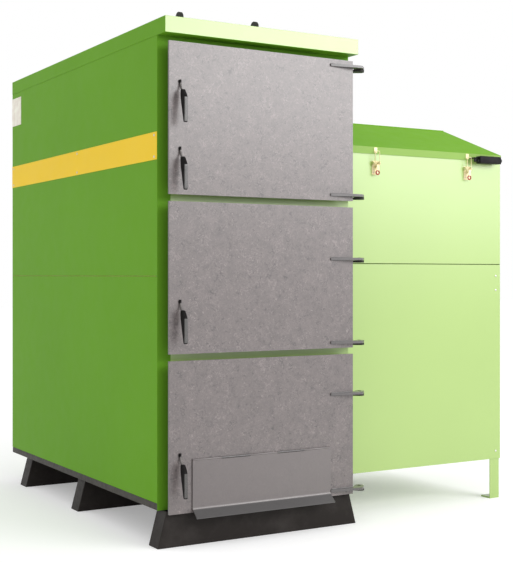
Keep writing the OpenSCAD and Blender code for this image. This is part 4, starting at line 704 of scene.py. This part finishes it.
for name, z in HANDLES.items():
    body = name + "_handle"
    x = HANDLE_X

    # The grip's front face and ribs are painted paler than the rest of the grip: painted light
    def on_painted_lit_face(c, z=z):
        down, across = z - c[:, 2], np.abs(c[:, 0] - HANDLE_X)
        return (c[:, 1] < GRIP_FRONT) & (down > 62) & (down < 152) & (across < 6.6)

    piece(name + "_grip_moulded", [grip_rings(z)], grip_black, body,
          [name + "_grip"], 40, [(on_painted_lit_face, grip_painted_lit_face)])
    rib_tops = [z - 68 - RIB_PITCH * i for i in range(RIBS)]
    ribs = [box_slab((x - 6, -919.4, top - 2), (x + 6, -918.6, top), "y", 0.3, 0.5, 2)
            for top in rib_tops]
    piece(name + "_grip_ribs", ribs, grip_painted_lit_face, body)
    bend = bezier([(x, -871.8, z - 4), (x, -872.6, z - 19), (x, -880, z - 27),
                   (x, -888, z - 40)], 14)
    tongue = rounded([(x - 9, z - 9), (x + 44, z - 9), (x + 44, z + 9), (x - 9, z + 9)], 9, 6)
    lever = [swept(bend, np.linspace(3.9, 3.4, 14), 16),
             slab(tongue, TONGUE_FRONT, TONGUE_BACK, "y", 1.2),
             turned([(7, -866), (7, -831), (6, -829)], "y", (x, z), 24),
             *hex_head("y", (x, z), TONGUE_BACK, 1, 13, 6)]
    # The levers take the darker steel: painted shade
    piece(name + "_lever_steel", lever, painted_shade_steel, body, [name + "_lever"])
    head = [box_slab((x - 3.6, -875, z - 7.8), (x + 3.6, -867.4, z + 8.2), "y", 1.4, 2.2, 3)]
    piece(name + "_lever_head", head, grip_black, body)

# Draught flap: one folded sheet with a bent lip, hung on three rolled barrels

FLAP_Y, BARREL_Z = -870.8, 329.5
LEFT, RIGHT = -324.5, 305.5
top_edge = [(FLAP_Y, 325.3), (FLAP_Y, 324.7), (FLAP_Y, 323)]
fold = bezier([(FLAP_Y, 152), (FLAP_Y, 143.2), (-877.8, 137.4)], 12)
lip = [(-905.7, 114.2), (-906.7, 113.4), (-907.2, 113)]
leaf = np.vstack([top_edge, fold, lip])
drawn_in = [1.2, 0.4] + [0] * (len(leaf) - 4) + [0.4, 1.2]
flap_shells = [folded_sheet(leaf, LEFT, RIGHT, 4, drawn_in)]
for x0, x1 in ((LEFT, -198.8), (-72.2, 53.2), (179.8, RIGHT)):
    barrel = [(3.1, x0), (3.5, x0 + 0.6), (3.5, x1 - 0.6), (3.1, x1)]
    flap_shells.append(turned(barrel, "x", (FLAP_Y, BARREL_Z), 24))
    neck = [(-872.8, 321), (-868.8, 321), (-868.9, 329), (-872.7, 329)]
    flap_shells.append(slab(neck, x0, x1, "x", 0.3))
# The flap's lip takes the dark copy of its paint: painted shade
piece("flap_folded", flap_shells, flap_grey, "flap", ["draught_flap"],
      regions=[(lambda c: c[:, 1] < -876, painted_shade_lip_grey)])

# Lid with its two catches and the tab over the switch

CATCH_FRONT = -731.2  # the catches and the tab lie before this, left and right of it by x
# The lid's front flange is painted paler than its roof: painted light
softened("hopper_lid", 1.6, 3, roof_green, regions=[
    (lambda c: (c[:, 1] < -726) & (c[:, 2] < 1580), painted_lit_flange_green),
    (lambda c: (c[:, 1] < CATCH_FRONT) & (c[:, 0] < 1162), yellow_zinc),
    (lambda c: (c[:, 1] < CATCH_FRONT) & (c[:, 0] > 1166) & (c[:, 0] < 1186), switch_black)])

# Toggle latches: lever, red finger loop and wire bail

LATCHES = {"left": 636, "right": 1151}
for side, x in LATCHES.items():
    lever = [box_slab((x - 8, -750, 1480), (x + 8, -748, 1506), "y", 0.5, 2)]
    for s in (-1, 1):
        cheek = rounded([(-750, 1492), (-737, 1492), (-735, 1512), (-740, 1517), (-745, 1512),
                         (-745, 1506), (-750, 1506)], [1.5, 2, 2.4, 3, 2, 0.6, 0.6], 4)
        lo, hi = sorted((x + s * 6, x + s * 8))
        lever.append(slab(cheek, lo, hi, "x", 0.3))
    piece(side + "_latch_plate", lever, yellow_zinc, side + "_latch",
          [side + "_latch_lever"])
    turn = angles(40)
    loop = np.stack([x + 8.2 * np.sin(turn), np.full(40, -747.2), 1471 + 8.2 * np.cos(turn)], 1)
    piece(side + "_latch_loop", [swept(loop, 2.8, 12, True)], loop_red, side + "_latch")
    wire = rounded([(x - 5, 1500), (x - 11.5, 1500), (x - 11.5, 1564), (x + 11.5, 1564),
                    (x + 11.5, 1500), (x + 5, 1500)], [0.01, 3, 4, 4, 3, 0.01], 5)
    wire = np.stack([wire[:, 0], np.full(len(wire), -746.0), wire[:, 1]], 1)
    keep = np.concatenate([[True], np.linalg.norm(np.diff(wire, axis=0), axis=1) > 0.05])
    piece(side + "_latch_wire", [swept(wire[keep], 1.5, 12)], yellow_zinc, side + "_bail",
          [side + "_latch_bail"])
softened("latch_bases", 0.4)
base_rivets = [dome_head("y", (x + s * 11, z), -730, -1, 2.4, 1.2)
               for x in LATCHES.values() for s in (-1, 1) for z in (1472, 1484)]
piece("latch_rivets", base_rivets, zinc)

# Lid switch: housing with a cover, corner screws, a cable gland and its bracket

PIVOT, GLAND = (1188, 1548), (-758, 1554)
switch = [box_slab((1194, -771.5, 1538), (1318, -743, 1570), "y", 1.6, 3, 3),
          box_slab((1193.6, -773.2, 1537.5), (1318.5, -768, 1570.5), "y", 1.4, 3.5, 3),
          box_slab((1214, -744, 1538.2), (1298, -728.2, 1546), "y", 0.6, 1),
          box_slab((1186, -767, 1542.5), (1195, -762.2, 1553.5), "y", 1, 2),
          turned([(2, -763), (2, -753)], "y", PIVOT, 16),
          turned([(5, -768), (6, -767), (6, -762.2), (5, -762)], "y", PIVOT, 24),
          turned([(9.5, 1317.5), (9.5, 1320), (11, 1320.6), (11, 1327), (9, 1330)], "x", GLAND, 6),
          turned([(7.5, 1317), (7.5, 1330), (5, 1330.4)], "x", GLAND, 24)]
piece("switch_housing", switch, switch_black, stands_for=["lid_switch"])
cover_screws = [turned([(2.1, -773), (2.1, -773.8), (1.5, -774.2)], "y", (x, z), 16)
                for x in (1198, 1314) for z in (1542, 1566)]
piece("switch_screws", cover_screws, switch_black)
softened("switch_lever", 0.5)

# Connections at the back

FLUE_R, FLUE_Z, PIPE_X = 125, 1620, -200
PIPES_Z = (1800, 400)
softened("flue_outlet", 1.0)
softened("water_connections", 1.5, 2)
turn = angles(96)
rim = np.stack([FLUE_R * np.cos(turn), np.full(96, 992.0), FLUE_Z + FLUE_R * np.sin(turn)], 1)
seams = [ring_weld("y", (0, FLUE_Z), 878, FLUE_R, 2.4), swept(rim, 2.2, 10, True)]
piece("flue_seams", seams, band_grey)
necks = [ring_weld("y", (PIPE_X, z), 961, 44.5, 3.2) for z in PIPES_Z]
raised_face = [(62, 979.5), (62, 981), (61, 981.4), (41, 981.4), (40.6, 979.5)]
faces = [turned(raised_face, "y", (PIPE_X, z), 48, True) for z in PIPES_Z]
piece("flange_welds", necks + faces, band_grey)

# Inside: rim widths of the nodes that keep their shape

INSIDE = {"front_plate": 2.0, "chamber_shelves": 2.0, "burner_retort": 2.0, "ash_box": 0.8,
          "auger_tube": 1.0, "funnel_plates": 0.5, "blower_housing": 1.0, "blower_wheel": 0.4,
          "gearmotor": 3.0}
for node, width in INSIDE.items():
    softened(node, width, 2)
t = np.linspace(0, 1, 20)
ash_loop = np.stack([-40 + 80 * t, np.full(20, -760.0), 238 + 26 * np.sin(math.pi * t) ** 0.5], 1)
piece("ash_box_handle", [swept(ash_loop, 3.5, 12)], plate_steel)

# Auger: a flight between shaft and rim that climbs one pitch a turn

PITCH, START, STOP = 160.0, 30.0, 1164.0
AUGER_Y, AUGER_Z = -321, 330
climb = np.linspace(0, STOP - START, 300)
angle = -FULL_TURN * climb / PITCH
section = np.array([(16, -4), (50, -3.6), (69.4, -3), (70, -2),  # radius, along the shaft
                    (70, 2), (69.4, 3), (50, 3.6), (16, 4)])
flight = np.zeros((len(climb), len(section), 3))
flight[:, :, 0] = START + climb[:, None] + section[None, :, 1]
flight[:, :, 1] = AUGER_Y + section[None, :, 0] * np.sin(angle)[:, None]
flight[:, :, 2] = AUGER_Z - section[None, :, 0] * np.cos(angle)[:, None]
shaft = turned([(15, 15), (18, 18), (18, 1285), (16, 1288)], "x", (AUGER_Y, AUGER_Z), 40)
piece("auger_flight", [(flight * MM, False, True), shaft], bare_steel, "auger",
      ["auger_screw"])

# Motor: cooling fins round the drum, as a radius that steps in and out

FINS, DRUM_R, DRUM_X, DRUM_Z = 32, 50, 1245, 315
turn = angles(192)
fins = DRUM_R + 2.2 * np.sign(np.sin(turn * FINS))
drum = np.zeros((3, len(turn), 3))
drum[:, :, 0] = DRUM_X + fins * np.cos(turn)
drum[:, :, 1] = np.linspace(-566, -410, 3)[:, None]
drum[:, :, 2] = DRUM_Z + fins * np.sin(turn)
piece("motor_fins", [(drum * MM, False, True)], motor_blue, sharp=20)

# Every CAD node takes its finish too: those that nothing stands for are seen themselves
for node, obj in frame["nodes"].items():
    for material_slot in obj.material_slots:
        material_slot.link = "OBJECT"
        material_slot.material = finish_of_slot[slot_of_node[node]]


# Room

FAR = 30  # metres from the middle to the floor's edges
corners = [(-FAR, -FAR, 0), (FAR, -FAR, 0), (FAR, FAR, 0), (-FAR, FAR, 0)]
floor_mesh = bpy.data.meshes.new("floor")
floor_mesh.from_pydata(corners, [], [(0, 1, 2, 3)])
floor = bpy.data.objects.new("floor", floor_mesh)
bpy.context.collection.objects.link(floor)
floor_finish = Finish("pale_floor", rough=0.9, level=0.0)
floor_finish.set("Base Color", (0.78, 0.78, 0.78, 1))
floor_mesh.materials.append(floor_finish.mat)


def seen_directly(tree, unseen, seen):
    """A number that is unseen for the light that falls on things, and seen for what the camera,
    glass or a gloss shows."""
    rays = tree.nodes.new("ShaderNodeLightPath")
    total = rays.outputs["Is Camera Ray"]
    for kind in ("Is Glossy Ray", "Is Transmission Ray"):
        more = tree.nodes.new("ShaderNodeMath")
        more.operation = "MAXIMUM"
        tree.links.new(total, more.inputs[0])
        tree.links.new(rays.outputs[kind], more.inputs[1])
        total = more.outputs[0]
    level = tree.nodes.new("ShaderNodeMapRange")
    level.inputs["To Min"].default_value = unseen
    level.inputs["To Max"].default_value = seen
    tree.links.new(total, level.inputs["Value"])
    return level.outputs["Result"]


floor_finish.set("Emission Color", (1, 1, 1, 1))
floor_finish.link(seen_directly(floor_finish.tree, 0.0, 0.30), "Emission Strength")

world = bpy.data.worlds.new("studio")
bpy.context.scene.world = world
world.use_nodes = True
back = world.node_tree.nodes["Background"]
back.inputs["Color"].default_value = (1, 1, 1, 1)
world.node_tree.links.new(seen_directly(world.node_tree, 0.95, 1.0), back.inputs["Strength"])


def softbox(name, place, aim, size, power):
    """A rectangular studio lamp at a place, turned to its aim; size in metres, power in watts."""
    data = bpy.data.lights.new(name, "AREA")
    data.shape = "RECTANGLE"
    data.size, data.size_y = size
    data.energy = power
    lamp = bpy.data.objects.new(name, data)
    lamp.location = place
    gap = np.array(aim, float) - np.array(place, float)
    tilt, heading = math.acos(-gap[2] / np.linalg.norm(gap)), math.atan2(gap[1], gap[0])
    lamp.rotation_euler = (tilt, 0, heading - QUARTER)
    bpy.context.collection.objects.link(lamp)


softbox("high_box", (2.4, -4.9, 3.1), (0.45, -0.8, 1.4), (2.6, 1.9), 90)
softbox("right_box", (4.7, -4.7, 2.5), (0.9, -0.8, 1.2), (2.2, 2.1), 61)
softbox("front_box", (0.8, -6.2, 2.4), (0.4, -0.8, 1.0), (2.0, 2.0), 25)
